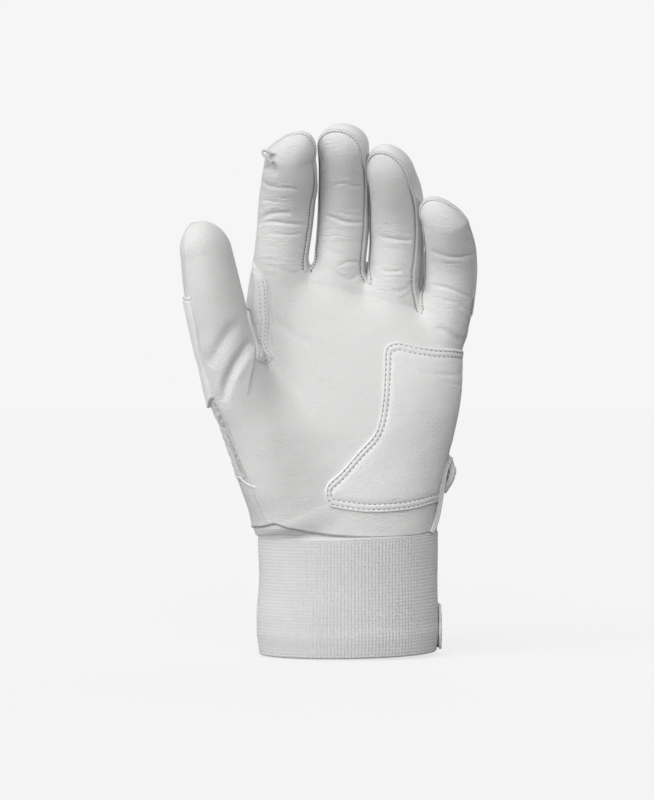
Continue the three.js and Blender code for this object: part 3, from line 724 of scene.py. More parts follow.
def noise(p, scale, seed=1):
    """Smooth noise from -1 to 1; scale is the size of its lumps along x, y and z."""
    q = p / np.asarray(scale, float)
    cell = np.floor(q).astype(np.int64)
    f = q - cell
    f = f * f * (3 - 2 * f)
    total = 0
    for i in (0, 1):
        for j in (0, 1):
            for k in (0, 1):
                weight = np.prod(np.where([i, j, k], f, 1 - f), axis=1)
                total = total + weight * hashed(cell + [i, j, k], seed)
    return total


# Grooves across the backs of the fingers, in shares of their length, and across the wrist
FLEX_GROOVES = (0.3, 0.38, 0.46, 0.54, 0.74, 0.81)
WRIST_GROOVES = (66.0, 71.0, 76.0, 81.0)


def flexed(p, away):
    """How far the grooves on the back of the hand raise or sink it."""
    rise = np.zeros(len(p))
    near = np.where(away > 0)[0]
    for name in FINGERS:
        limb = limbs[name]
        close = near[limb.field(p[near]) < 2]
        t, u, _, _ = limb.local(p[close])
        reach = 1 - step_up(np.abs(u), 5.5, 8)
        for share in FLEX_GROOVES:
            x = (t - share) * limb.length
            rise[close] += reach * (0.16 * np.exp(-(x / 2.2) ** 2) - 0.6 * np.exp(-(x / 0.65) ** 2))
    reach = 1 - step_up(np.abs(p[:, 0] + 2), 19, 23)
    for z in WRIST_GROOVES:
        x = p[:, 2] - z + 0.004 * (p[:, 0] + 2) ** 2
        rise += reach * (0.2 * np.exp(-(x / 1.8) ** 2) - 0.6 * np.exp(-(x / 0.7) ** 2))
    return rise * away


def beside(place, facing, points, width):
    """The places near a line of the picture: their numbers, how far they are from the line's
    closest point, to the right and down, and that point's share along the line."""
    line = curve(points, 1.0)
    low, high = line.min(0) - 4 * width, line.max(0) + 4 * width
    near = np.where(((place > low) & (place < high)).all(1) & (facing > 0))[0]
    apart = place[near][:, None] - line[None]
    closest = np.linalg.norm(apart, axis=2).argmin(1)
    return near, apart[np.arange(len(near)), closest], closest / (len(line) - 1)


def wrinkles(p, place):
    """Fine wrinkles, strongest on the palm side of the fingers."""
    across, down = place.T
    smooth_until = np.interp(across, *zip(*SMOOTH_ABOVE))
    palm_from = down - 0.22 * np.clip(across - 300, 0, 200)
    finger = step_up(down, smooth_until - 5, smooth_until + 9)
    finger *= (1 - step_up(palm_from, 274, 306)) * step_up(across, 248, 256)
    patchy = step_up(noise(p, (15, 15, 8), 5), -0.45, 0.5)
    wide, fine = [np.exp(-(noise(p, size, seed) / 0.3) ** 2)
                  for size, seed in (((9, 9, 2.6), 3), ((5, 5, 1.6), 4))]
    return (wide * 0.15 + fine * 0.09) * (0.08 + finger * patchy)


def crumpled_side(p):
    """The unevenness of the knit strip beside the thumb, more so near its lower end."""
    strip = step_up(left_of_radial_seam(p), 0.3, 1.6) * step_up(p[:, 2], 77, 80)
    strip *= step_up(BACK_SEAM - p[:, 1], 0, 3)
    low_end = step_up(100 - p[:, 2], 0, 14)
    return 0.42 * strip * (noise(p, (1.2, 1.5, 3.0), 8) + 0.6 * noise(p, (1.5, 1.5, 2.2), 9) * low_end)


def relief(p, n):
    """How far folds, creases and wrinkles raise the leather at points of its bare surface."""
    place = seen(p)
    facing = step_up(-n[:, 1], 0.05, 0.4)
    rise = np.zeros(len(p))
    for points, depth, width in CREASES:
        near, apart, along = beside(place, facing, points, width)
        x = np.linalg.norm(apart, axis=1) / width
        fade = np.sqrt(np.clip(np.minimum(along, 1 - along) * 4, 0, 1)) * 0.85 + 0.15
        rise[near] -= depth * fade * (np.exp(-x * x) - 0.2 * np.exp(-(x / 2.3) ** 2))
    for points, height, width in LAPS:
        near, apart, along = beside(place, facing, points, width)
        x = -apart[:, 0]
        fade = step_up(along, 0, 0.3) * (1 - step_up(along, 0.45, 1))
        edge = 1 + np.exp(-np.clip(x, -20, 20) / 0.55)
        rise[near] += height * fade * np.exp(-np.maximum(x, 0) / width) / edge
    rise -= wrinkles(p, place) * facing
    rise += crumpled_side(p)
    rise += flexed(p, step_up(n[:, 1], 0.15, 0.5))
    rise += 0.12 * noise(p, (9, 9, 7), 6) + 0.22 * noise(p, (26, 20, 22), 7)
    return rise


def on_leather(p, n, lift=0.0):
    """Points of the bare surface moved onto the creased one, or a little above it."""
    return p + n * (relief(p, n) + lift)[:, None]


# Where the leather of the palm meets the fingers, in the picture
ROOT_LINE = [(150, 262), (245, 266), (306, 271.5), (370, 283), (421, 313), (480, 336)]
HEM_LINE = [(200, 530), (254, 526.5), (262, 526.3), (270, 524.3), (275, 523.6), (288, 528), (306, 531.6),
            (328, 534.6), (354, 536.6), (374, 537.1), (394, 536.6), (416, 534.9), (431, 532), (445, 528.4),
            (480, 523)]
# The seam up the thumb's side, in shares of the palm's breadth and length
RADIAL_SEAM = [(-0.388, -0.3), (-0.388, 0.077), (-0.457, 0.2), (-0.515, 0.34), (-0.581, 0.47),
               (-0.622, 0.52), (-0.66, 0.564), (-0.716, 0.79), (-0.734, 0.904), (-0.76, 1.04), (-0.8, 1.4)]


def above_line(p, line):
    """How far above a line of the picture points are, in pixels."""
    place = seen(p)
    line = np.asarray(line, float)
    return np.interp(place[:, 0], line[:, 0], line[:, 1]) - place[:, 1]


def left_of_radial_seam(p):
    """How far to the thumb's side of the seam beside it points are."""
    seam = np.asarray(RADIAL_SEAM) * [PALM_BREADTH, PALM_LENGTH] + [0, HEM_HEIGHT]
    return np.interp(p[:, 2], seam[:, 1], seam[:, 0]) - p[:, 0]


# Meshes and pieces
def mesh_object(name, points, faces, material, normals=None):
    """A mesh object from points in millimetres, and one array of equal faces or a list of them."""
    groups = [np.asarray(f) for f in (faces if isinstance(faces, list) else [faces])]
    groups = [g for g in groups if len(g)]
    mesh = bpy.data.meshes.new(name)
    mesh.vertices.add(len(points))
    placed = (np.asarray(points, float) + CENTRE) * MM
    mesh.vertices.foreach_set("co", placed.astype(np.float32).ravel())
    corners = np.concatenate([g.ravel() for g in groups])
    sizes = np.concatenate([np.full(len(g), g.shape[1]) for g in groups])
    mesh.loops.add(len(corners))
    mesh.loops.foreach_set("vertex_index", corners.astype(np.int32))
    mesh.polygons.add(len(sizes))
    starts = np.concatenate([[0], np.cumsum(sizes)[:-1]])
    mesh.polygons.foreach_set("loop_start", starts.astype(np.int32))
    mesh.polygons.foreach_set("use_smooth", np.full(len(sizes), True))
    mesh.update(calc_edges=True)
    mesh.validate()
    if normals is not None:
        mesh.normals_split_custom_set_from_vertices(np.asarray(normals, float).tolist())
    obj = bpy.data.objects.new(name, mesh)
    bpy.context.scene.collection.objects.link(obj)
    obj.data.materials.append(material)
    return obj


def panel_object(name, data, faces, material):
    """A panel of the skin, from points with their normals and rows of corner numbers."""
    used = np.unique(faces[faces >= 0])
    number = np.full(len(data), -1)
    number[used] = np.arange(len(used))
    counts = (faces >= 0).sum(1)
    groups = [number[faces[counts == n, :n]] for n in range(3, MOST_CORNERS + 1)]
    return mesh_object(name, data[used, :3], groups, material, normals=data[used, 3:6])


FINGER_BODIES = {
    "index": "index_finger",
    "middle": "middle_finger",
    "ring": "ring_finger",
    "little": "little_finger",
    "thumb": "thumb_tip",
}
# Between which shares of a limb its leather would bend with its joint; place_piece only turns them into two
# points and bends nothing
BLEND_SHARES = {
    "index": (0.05, 0.45),
    "middle": (0.06, 0.42),
    "ring": (0.08, 0.44),
    "little": (0.1, 0.5),
    "thumb": (0.755, 0.88),
}


def place_piece(obj, body, slot, *nodes):
    """Makes a piece ride on its body, or, on a finger or the thumb, bakes its place into its mesh without
    bending it; and hides the nodes that it stands for.
    """
    if body in FINGER_BODIES:
        start, end = [(limbs[body].point(t, 0, 0) + CENTRE) * MM for t in BLEND_SHARES[body]]
        tuple(start)
        tuple(end)
        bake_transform(obj)
    else:
        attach(obj, body)
    if nodes:
        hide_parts(*nodes)
    return obj


# Shapes that lie on the skin
def joined_meshes(parts):
    """Several (points, faces) as one, where faces is an array or a list of arrays."""
    points, faces, shift = [], [], 0
    for p, f in parts:
        points.append(p)
        faces += [np.asarray(g) + shift for g in (f if isinstance(f, list) else [f])]
        shift += len(p)
    return np.concatenate(points), faces


def frames(path, normals):
    """Unit vectors along a path on a surface, across it and out of the surface."""
    along = np.gradient(path, axis=0)
    along /= np.linalg.norm(along, axis=1)[:, None] + 1e-12
    across = np.cross(along, normals)
    across /= np.linalg.norm(across, axis=1)[:, None] + 1e-12
    return along, across, np.cross(across, along)


def tube_faces(n, m):
    """The quads round n rings of m points each, and the two end caps."""
    i, j = np.meshgrid(np.arange(n - 1), np.arange(m), indexing="ij")
    k = (j + 1) % m
    quads = np.stack([i * m + j, (i + 1) * m + j, (i + 1) * m + k, i * m + k], -1).reshape(-1, 4)
    return [quads, np.stack([np.arange(m), (n - 1) * m + np.arange(m)[::-1]])]


def swept(path, normals, profile, wide=1.0):
    """A closed bar along a path on a surface. The profile gives places across and above it, and
    wide is the share of its width that the bar has along the path."""
    along, across, up = frames(path, normals)
    profile = np.asarray(profile, float)
    wide = np.broadcast_to(wide, len(path))[:, None, None]
    rings = (path[:, None] + across[:, None] * profile[None, :, :1] * wide
             + up[:, None] * profile[None, :, 1:])
    return rings.reshape(-1, 3), tube_faces(*rings.shape[:2])


PROFILE_POINTS = 8


def round_profile(width, height, sunk=0.35):
    """A flat rounded bar's section, from 0 to width across, sunk a little below the surface."""
    top = []
    for turn in np.linspace(0, math.pi, PROFILE_POINTS):
        top.append([width * (0.5 - 0.5 * math.cos(turn)), height * max(math.sin(turn), 0) ** 0.6])
    return np.array([*top, [width, -sunk], [0, -sunk]])


# The rings of points of a stitch: places along it, in lengths, against their share of its size
STITCH_RINGS = [(-0.5, 0.35), (-0.3, 0.9), (0, 1), (0.3, 0.9), (0.5, 0.35)]
STITCH_SIDES = 6


def threads(path, normals, pitch, length, width, height):
    """A row of stitches along a path on a surface."""
    gone = lengths_along(path)
    at = np.arange(pitch / 2, gone[-1], pitch)
    spot = lambda values: np.stack([np.interp(at, gone, values[:, i]) for i in range(3)], 1)
    along, across, up = [spot(x) for x in frames(path, normals)]
    rings = []
    for s, r in STITCH_RINGS:
        for i in range(STITCH_SIDES):
            a = 2 * math.pi * i / STITCH_SIDES
            rings.append([s * length, r * width / 2 * math.cos(a), r * height * math.sin(a)])
    rings = np.array(rings)
    points = (spot(path)[:, None] + along[:, None] * rings[None, :, :1]
              + across[:, None] * rings[None, :, 1:2] + up[:, None] * rings[None, :, 2:])
    shift = (np.arange(len(at)) * len(rings))[:, None, None]
    quads, caps = tube_faces(len(STITCH_RINGS), STITCH_SIDES)
    faces = [np.roll(quads[:, ::-1], 1, 1), caps[:, ::-1]]
    return points.reshape(-1, 3), [(part[None] + shift).reshape(-1, part.shape[1]) for part in faces]


def rounded_end(apart, radius):
    """The share of its width that a bar has at a distance from its round end."""
    return np.sqrt(1 - (1 - np.clip(apart / radius, 0.02, 1)) ** 2)


def distance_to(points, line):
    """The shortest distance from each point to a closed or open line of close points."""
    best = []
    for part in np.array_split(points, max(1, len(points) // 4000)):
        best.append(np.linalg.norm(part[:, None] - line[None], axis=2).min(1))
    return np.concatenate(best)


def inside(points, outline):
    """Which 2-D points are inside a closed outline."""
    x, y = points[:, 0], points[:, 1]
    hit = np.zeros(len(points), bool)
    for (ax, ay), (bx, by) in zip(outline, np.roll(outline, -1, 0)):
        crosses = (ay > y) != (by > y)
        hit ^= crosses & (x < (bx - ax) * (y - ay) / np.where(by == ay, 1e-9, by - ay) + ax)
    return hit


def inward_normals(outline):
    """Unit vectors into a closed flat outline, and whether it runs round to the left."""
    following = np.roll(outline, -1, 0)
    along = following - np.roll(outline, 1, 0)
    along /= np.linalg.norm(along, axis=1)[:, None] + 1e-12
    area = 0.5 * np.sum(outline[:, 0] * following[:, 1] - following[:, 0] * outline[:, 1])
    return np.stack([-along[:, 1], along[:, 0]], 1) * np.sign(area), area > 0


def draped(outline, place, height, spacing, rims, sunk=0.5):
    """A patch that lies on a surface. The outline is flat; place maps flat points to the surface
    and its normals; height gives how proud the patch is at a distance from its edge. Rims are the
    distances from its edge of rows of points; inside them the points are a grid."""
    inward, leftward = inward_normals(outline)
    low, high = outline.min(0), outline.max(0)
    xs, ys = np.arange(low[0], high[0], spacing), np.arange(low[1], high[1], spacing)
    grid = np.stack(np.meshgrid(xs, ys, indexing="ij"), -1).reshape(-1, 2)
    grid = grid[inside(grid, outline)]
    grid = grid[distance_to(grid, outline) > rims[-1] + 0.45 * spacing]
    rings = [outline + inward * r for r in rims]
    flat = np.concatenate([*rings, grid])
    m = len(outline)
    loop = [(i, (i + 1) % m) for i in range(m)]
    made, _, faces, *_ = geometry.delaunay_2d_cdt([Vector(p) for p in flat], loop, [], 1, 1e-6)
    made = np.array([[v.x, v.y] for v in made])
    apart = distance_to(made, outline)
    points, normals = place(made)
    rise = height(apart, points)
    top = points + normals * rise[:, None]
    faces = np.array([f for f in faces if len(f) == 3])
    order = [int(np.argmin(np.linalg.norm(made - p, axis=1))) for p in outline]
    under = points[order] - normals[order] * sunk
    count = len(top)
    wall = np.array([[order[i], order[k], count + k, count + i] for i, k in loop])
    a, b, c = np.moveaxis(top[faces], 1, 0)
    flip = (np.cross(b - a, c - a) * normals[faces[:, 0]]).sum() < 0
    if flip:
        faces = faces[:, ::-1]
    if leftward != flip:
        wall = wall[:, ::-1]
    return np.concatenate([top, under]), [faces, wall]


# Materials. Sizes in them are metres, as the scene is.
YARN = 0.0005


def blank(name, roughness):
    """A new material with its nodes and its surface."""
    material = bpy.data.materials.new(name)
    material.use_nodes = True
    tree = material.node_tree
    bsdf = tree.nodes["Principled BSDF"]
    bsdf.inputs["Roughness"].default_value = roughness
    bsdf.inputs["Specular IOR Level"].default_value = 0.4
    return material, tree, bsdf


def coordinates(tree, stretch=(1, 1, 1), source="Object"):
    """Places on the object, stretched along x, y and z."""
    place = tree.nodes.new("ShaderNodeTexCoord")
    mapping = tree.nodes.new("ShaderNodeMapping")
    mapping.inputs["Scale"].default_value = stretch
    tree.links.new(place.outputs[source], mapping.inputs["Vector"])
    return mapping.outputs["Vector"]


def lumps(tree, vector, size, detail=3.0):
    """Soft noise with lumps of a size: 0 to 1."""
    node = tree.nodes.new("ShaderNodeTexNoise")
    node.inputs["Scale"].default_value = 1 / size
    node.inputs["Detail"].default_value = detail
    tree.links.new(vector, node.inputs["Vector"])
    return node.outputs["Fac"]


def cells(tree, vector, size, feature="DISTANCE_TO_EDGE"):
    """The distance to the edge of cells of a size, or to their middle."""
    node = tree.nodes.new("ShaderNodeTexVoronoi")
    node.feature = feature
    node.inputs["Scale"].default_value = 1 / size
    tree.links.new(vector, node.inputs["Vector"])
    return node.outputs["Distance"]


def waves(tree, vector, pitch, axis):
    """Ribs across an axis: 0 to 1, one for each pitch."""
    node = tree.nodes.new("ShaderNodeTexWave")
    node.bands_direction = axis
    node.inputs["Scale"].default_value = 2 * math.pi / 20 / pitch
    tree.links.new(vector, node.inputs["Vector"])
    return node.outputs["Fac"]


def combined(tree, kind, a, b=0.0):
    """One value from two, by the kind of sum."""
    node = tree.nodes.new("ShaderNodeMath")
    node.operation = kind
    for socket, value in zip(node.inputs, (a, b)):
        if isinstance(value, (int, float)):
            socket.default_value = value
        else:
            tree.links.new(value, socket)
    return node.outputs[0]


def weighted(tree, *parts):
    """The sum of two values, each times its weight."""
    return combined(tree, "ADD", *[combined(tree, "MULTIPLY", value, weight) for value, weight in parts])


def remapped(tree, value, low, high, to_low=0.0, to_high=1.0):
    """A value brought from one span to another."""
    node = tree.nodes.new("ShaderNodeMapRange")
    spans = {"From Min": low, "From Max": high, "To Min": to_low, "To Max": to_high}
    for name, number in spans.items():
        node.inputs[name].default_value = number
    tree.links.new(value, node.inputs["Value"])
    return node.outputs["Result"]


def tinted(tree, bsdf, factor, dark, light):
    """A colour between two, for the base."""
    node = tree.nodes.new("ShaderNodeMix")
    node.data_type = "RGBA"
    colours = [socket for socket in node.inputs if socket.type == "RGBA"]
    colours[0].default_value, colours[1].default_value = (*dark, 1), (*light, 1)
    tree.links.new(factor, node.inputs["Factor"])
    tree.links.new([s for s in node.outputs if s.type == "RGBA"][0], bsdf.inputs["Base Color"])


def bumped(tree, bsdf, *layers):
    """Bumps of given depth in metres, one over the other."""
    last = None
    for height, depth in layers:
        node = tree.nodes.new("ShaderNodeBump")
        node.inputs["Strength"].default_value = 1.0
        node.inputs["Distance"].default_value = depth
        tree.links.new(height, node.inputs["Height"])
        if last:
            tree.links.new(last, node.inputs["Normal"])
        last = node.outputs["Normal"]
    tree.links.new(last, bsdf.inputs["Normal"])


def grey(level, warm=0.004):
    """A grey that is a little warm."""
    return (level + warm, level, level - warm)


def leather_material(name, level, grain, depth, roughness=0.55, crinkle=0.0):
    """Smooth tanned leather: small pebbles parted by fine lines, with pores, faint clouds and, in
    places, fine wrinkles across the hand."""
    material, tree, bsdf = blank(name, roughness)
    place = coordinates(tree, (1, 1, 1.35))
    pebbles = cells(tree, place, grain)
    fine = lumps(tree, place, grain * 0.45, 4.0)
    pores = remapped(tree, cells(tree, place, grain * 2.3, "F1"), 0.0, 0.14)
    clouds = lumps(tree, place, 0.018, 3.0)
    line = remapped(tree, pebbles, 0.0, 0.16)
    mixed = weighted(tree, (line, 0.45), (clouds, 0.55))
    tinted(tree, bsdf, mixed, grey(level * 0.93), grey(level * 1.05))
    uneven = remapped(tree, fine, 0.3, 0.7, roughness - 0.06, roughness + 0.08)
    tree.links.new(uneven, bsdf.inputs["Roughness"])
    layers = [(line, depth), (fine, depth * 0.9), (pores, depth * 0.7)]
    if crinkle:
        ridges = lumps(tree, coordinates(tree, (1, 1, 4.2)), 0.0052, 3.5)
        ridges = combined(tree, "ABSOLUTE", combined(tree, "SUBTRACT", ridges, 0.5))
        folded = remapped(tree, ridges, 0.0, 0.16)
        where = remapped(tree, lumps(tree, coordinates(tree, (1, 1, 1.6)), 0.016, 2.0), 0.42, 0.62)
        layers.append((combined(tree, "MULTIPLY", folded, where), crinkle))
    bumped(tree, bsdf, *layers)
    return material


def knit_material(name, level, depth, across=0.0011, up=0.0009, axes=("X", "Z"), painted_shade_specks=0.0):
    """Fine knit: columns of loops with rows across them, and dark flecks of painted shade, standing in for
    the shade where it is crumpled.
    """
    material, tree, bsdf = blank(name, 0.8)
    place = coordinates(tree)
    wobble = lumps(tree, place, 0.004, 2.0)
    columns, rows = waves(tree, place, across, axes[0]), waves(tree, place, up, axes[1])
    stitches = combined(tree, "MULTIPLY", columns, combined(tree, "ADD", rows, 0.4))
    fuzz = lumps(tree, place, 0.0003, 3.0)
    tone = weighted(tree, (stitches, 0.6), (wobble, 0.4))
    if painted_shade_specks:
        # Painted shade: noise flecks darken the knit in place of the shade of crumpled fabric.
        shade_flecks = remapped(tree, lumps(tree, place, 0.0016, 2.0), 0.4, 0.56)
        tone = combined(tree, "MULTIPLY", tone, shade_flecks)
    tinted(tree, bsdf, tone, grey(level * (0.92 - painted_shade_specks)), grey(level * 1.04))
    bsdf.inputs["Sheen Weight"].default_value = 0.25
    bsdf.inputs["Sheen Roughness"].default_value = 0.5
    bumped(tree, bsdf, (stitches, depth), (fuzz, depth * 0.35))
    return material


def webbing_material(name, level):
    """Woven elastic: fine yarns along both ways, laid over the woven shape of the mesh."""
    material, tree, bsdf = blank(name, 0.82)
    place = coordinates(tree, source="UV")
    yarns = combined(tree, "ADD", waves(tree, place, YARN, "X"), waves(tree, place, YARN, "Y"))
    fuzz = lumps(tree, coordinates(tree), 0.00035, 3.0)
    clouds = lumps(tree, coordinates(tree), 0.012, 2.0)
    mixed = weighted(tree, (fuzz, 0.5), (clouds, 0.5))
    tinted(tree, bsdf, mixed, grey(level * 0.92, 0.002), grey(level * 1.05, 0.002))
    bsdf.inputs["Sheen Weight"].default_value = 0.2
    bumped(tree, bsdf, (yarns, 0.00004), (fuzz, 0.00006))
    return material


def fuzzy_material(name, level, size, depth):
    """The loops, or the hooks, of a touch fastener."""
    material, tree, bsdf = blank(name, 0.92)
    place = coordinates(tree)
    tufts, fine = cells(tree, place, size, "F1"), lumps(tree, place, size * 0.4, 4.0)
    tinted(tree, bsdf, combined(tree, "MULTIPLY", tufts, 1.4), grey(level * 1.05), grey(level * 0.75))
    bsdf.inputs["Sheen Weight"].default_value = 0.4
    bumped(tree, bsdf, (tufts, depth), (fine, depth * 0.5))
    return material


def thread_material(name, level):
    """Twisted sewing thread."""
    material, tree, bsdf = blank(name, 0.6)
    place = coordinates(tree)
    twist = lumps(tree, place, 0.00025, 3.0)
    tinted(tree, bsdf, twist, grey(level * 0.85), grey(level * 1.1))
    bumped(tree, bsdf, (twist, 0.00006))
    return material


palm_leather = leather_material("palm_leather", 0.76, grain=0.0012, depth=0.00009, crinkle=0.00008)
finger_leather = leather_material("finger_leather", 0.76, grain=0.0012, depth=0.00009, crinkle=0.00012)
patch_leather = leather_material("patch_leather", 0.83, grain=0.0013, depth=0.0001, crinkle=0.00012)
seam_leather = leather_material("seam_leather", 0.68, grain=0.0009, depth=0.00004)
strap_leather = leather_material("strap_leather", 0.7, grain=0.0008, depth=0.00005, roughness=0.5)
back_textile = knit_material("back_textile", 0.74, 0.00006)
gusset_textile = knit_material("gusset_textile", 0.64, 0.00012, across=0.0009, axes=("Y", "Z"))
# The thumb's side textile gets dark flecks of painted shade for its crumpled look.
side_mesh = knit_material("side_textile", 0.84, 0.0001, across=0.0007, up=0.0012, axes=("Y", "Z"), painted_shade_specks=0.4)
elastic = webbing_material("elastic_webbing", 0.66)
lining_knit = knit_material("lining_knit", 0.76, 0.00005, across=0.0009, up=0.0008)
light_edge = webbing_material("light_edge", 0.72)
pad_leather = leather_material("pad_leather", 0.72, grain=0.0009, depth=0.00005)
# A dark leather for the bar along the hem: painted shadow of the gap under the hem's edge.
hem_painted_shadow = leather_material("hem_painted_shadow", 0.36, grain=0.0006, depth=0.00003)
tape = leather_material("binding_tape", 0.8, grain=0.0006, depth=0.00003, roughness=0.45)
slit_tape = leather_material("slit_tape", 0.62, grain=0.0006, depth=0.00003)
strip_textile = knit_material("strip_textile", 0.88, 0.00003, across=0.0006, up=0.0006)
hooks = fuzzy_material("hook_side", 0.6, 0.0007, 0.0003)
loops = fuzzy_material("loop_side", 0.62, 0.0005, 0.0002)
thread = thread_material("sewing_thread", 0.26)
# Near-black thread for the finger seams: a grey thread darkened further with painted shade of the stitch
# holes.
shade_darkened_thread = thread_material("seam_thread_and_painted_shade", 0.12)
light_thread = thread_material("light_thread", 0.4)


def tidy_normals(obj):
    """Turns all faces outward."""
    work = bmesh.new()
    work.from_mesh(obj.data)
    bmesh.ops.recalc_face_normals(work, faces=work.faces)
    work.to_mesh(obj.data)
    work.free()
    return obj


def add_piece(name, parts, material, body, slot, *nodes):
    """A closed piece, or several in one object, on its body."""
    points, faces = joined_meshes(parts) if isinstance(parts, list) else parts
    return place_piece(tidy_normals(mesh_object(name, points, faces, material)), body, slot, *nodes)


# The skin of the palm and thumb, in panels
SLIT_TOP, SLIT_WIDTH, SLIT_SLOPE, SLIT_LOW = 90.0, 5.0, 9.0, 47.0


def slit_edges(z):
    """How deep the slit's front and back edges are at a height."""
    down = np.clip((SLIT_TOP - z) / (SLIT_TOP - SLIT_LOW), 0, 1)
    middle = BACK_SEAM - SLIT_SLOPE * down
    return middle - SLIT_WIDTH / 2 * down, middle + SLIT_WIDTH / 2 * down


points, quads, stands = surface(hand_field, (-76, -50, 46), (62, 32, 188))
near_thumb = (thumb.field(stands) < 3) & (stands[:, 0] < -36)
used, quads = kept(quads, (above_line(stands, ROOT_LINE) <= 0) | near_thumb)
points, normals = settle(hand_field, points[used], 3)
points, quads = divided(points, quads)
points, normals = settle(hand_field, points, 1)
points = on_leather(points, normals)
skin = np.concatenate([points, vertex_normals(points, quads)], 1)
skin, skin_faces, _ = cut(skin, quads, lambda p: above_line(p, HEM_LINE))


def slit_value(p):
    """How far inside the slit points are."""
    front, back = slit_edges(p[:, 2])
    return np.where(p[:, 0] > 0, np.minimum(p[:, 1] - front, back - p[:, 1]) - 0.01, -1)


def tip_value(p):
    """How far past the thumb's crease points are."""
    near = (thumb.field(p) < 2.5) & (p[:, 0] < -36)
    return np.where(near, thumb.local(p)[0] - THUMB_CREASE, -1) * thumb.length


def back_value(p):
    """How far behind the side seams points are: the palm's seams, or the thumb's near that."""
    by_thumb = step_up(p[:, 2], 60, 75) * step_up(-p[:, 0], 36, 44)
    by_thumb = by_thumb * (1 - step_up(thumb.field(p), 1, 4))
    side = np.where(p[:, 0] > 0, sum(slit_edges(p[:, 2])) / 2, BACK_SEAM)
    return (p[:, 1] - side) * (1 - by_thumb) - thumb.before_seam(p) * by_thumb


skin, _, skin_faces = cut(skin, skin_faces, slit_value)
skin, on_tip, skin_faces = cut(skin, skin_faces, tip_value)
skin, tip_front, tip_back = cut(skin, on_tip, thumb.before_seam)
skin, behind, before = cut(skin, skin_faces, back_value)
middles = face_middles(skin, behind)
thumb_back = (thumb.field(middles) < 2.5) & (middles[:, 0] < -0.44 * PALM_BREADTH)
thumb_back &= middles[:, 2] > 60
skin, aside, palm = cut(skin, before, left_of_radial_seam)
textile_from = HEM_HEIGHT + 0.2 * PALM_LENGTH
skin, side_leather, side_textile = cut(skin, aside, lambda p: textile_from - p[:, 2])
panels = [
    ("palm_leather_panel", palm, palm_leather, "palm_leather", "palm_panel"),
    ("wrist_side_panel", side_leather, palm_leather, "palm_leather", "wrist_side_leather"),
    ("thumb_side_panel", side_textile, side_mesh, "back_textile", "thumb_side_mesh"),
    ("thumb_base_back_panel", behind[thumb_back], back_textile, "back_textile", "thumb_base_back"),
    ("hand_back_panel", behind[~thumb_back], back_textile, "back_textile", "back_panel"),
    ("thumb_front_panel", tip_front, palm_leather, "palm_leather", "thumb_front"),
    ("thumb_back_panel", tip_back, back_textile, "back_textile", "thumb_back"),
]
for name, faces, material, slot, node in panels:
    body = "thumb" if node in ("thumb_front", "thumb_back") else "glove_body"
    place_piece(panel_object(name, skin, faces, material), body, slot, node)

# The fingers, each with a front, a back and gussets, a welt along the seam and its stitches
WELT_WIDTH, WELT_HEIGHT, SEAM_GROOVE = 1.8, 0.55, 0.22
BAR_STEP = 0.5  # between the points of a seam
# From which share of its length up each finger's seam starts on the left and on the right
SEAM_LOWS = {"index": (0.0, 0.1), "middle": (0.1, 0.12), "ring": (0.14, 0.12), "little": (0.14, 0.0)}
BACK_SEAM_LOWS = {"index": 0.05, "middle": 0.15, "ring": 0.15, "little": 0.15}


def finger_panels(name):
    """A finger's leather and textile, cut out of its surface along its seams."""
    limb, field = limbs[name], fields[name]
    corners = limb.point([0, 0, 1, 1], [-16, 16, -16, 16], 0)
    points, quads, stands = surface(field, corners.min(0) - [6, 26, 26], corners.max(0) + [6, 26, 16])
    nearest = np.argmin([limbs[n].field(stands) for n in FINGERS], axis=0) == FINGERS.index(name)
    apart = limb.field(stands) < thumb.field(stands)
    used, quads = kept(quads, (above_line(stands, ROOT_LINE) > 0) & nearest & apart)
    points, normals = settle(field, points[used], 3)
    points, quads = divided(points, quads)
    points, normals = settle(field, points, 1)
    groove = SEAM_GROOVE * np.exp(-((limb.before_seam(points) - 0.3) / 0.5) ** 2)
    points = on_leather(points, normals) - normals * groove[:, None]
    skin = np.concatenate([points, vertex_normals(points, quads)], 1)
    skin, front, rest = cut(skin, quads, limb.before_seam)
    skin, between, back = cut(skin, rest, lambda p: limb.before_seam(p, back=True))
    left = limb.local(face_middles(skin, between))[1] < 0
    parts = [
        ("front", front, finger_leather, "palm_leather"),
        ("back", back, back_textile, "back_textile"),
        ("left_gusset", between[left], gusset_textile, "gusset_textile"),
        ("right_gusset", between[~left], gusset_textile, "gusset_textile"),
    ]
    for part, faces, material, slot in parts:
        if part in ("front", "back") or part.removesuffix("_gusset") in GUSSETS[name]:
            panel = panel_object(f"{name}_{part}_panel", skin, faces, material)
            place_piece(panel, name, slot, f"{name}_{part}")


def seam_on_leather(field, points):
    """Evenly spaced points of a seam on the creased leather, and the surface's normals there."""
    path, facing = settle(field, curve(points, BAR_STEP), 2)
    return on_leather(path, facing), facing


def welt_points(name):
    """A finger's seam, down into the crotches beside it."""
    points = limbs[name].seam_path(*SEAM_LOWS[name])
    for pair, pixel in CROTCHES.items():
        if name in pair:
            is_left = pair[1] == name
            shift = 1.6 if is_left else -1.6
            crotch, _ = through(hand_field, [(pixel[0] + shift, pixel[1] + 1.0)])
            points = np.concatenate([crotch, points] if is_left else [points, crotch])
    return points[::3] if len(points) % 3 == 1 else np.concatenate([points[::3], points[-1:]])


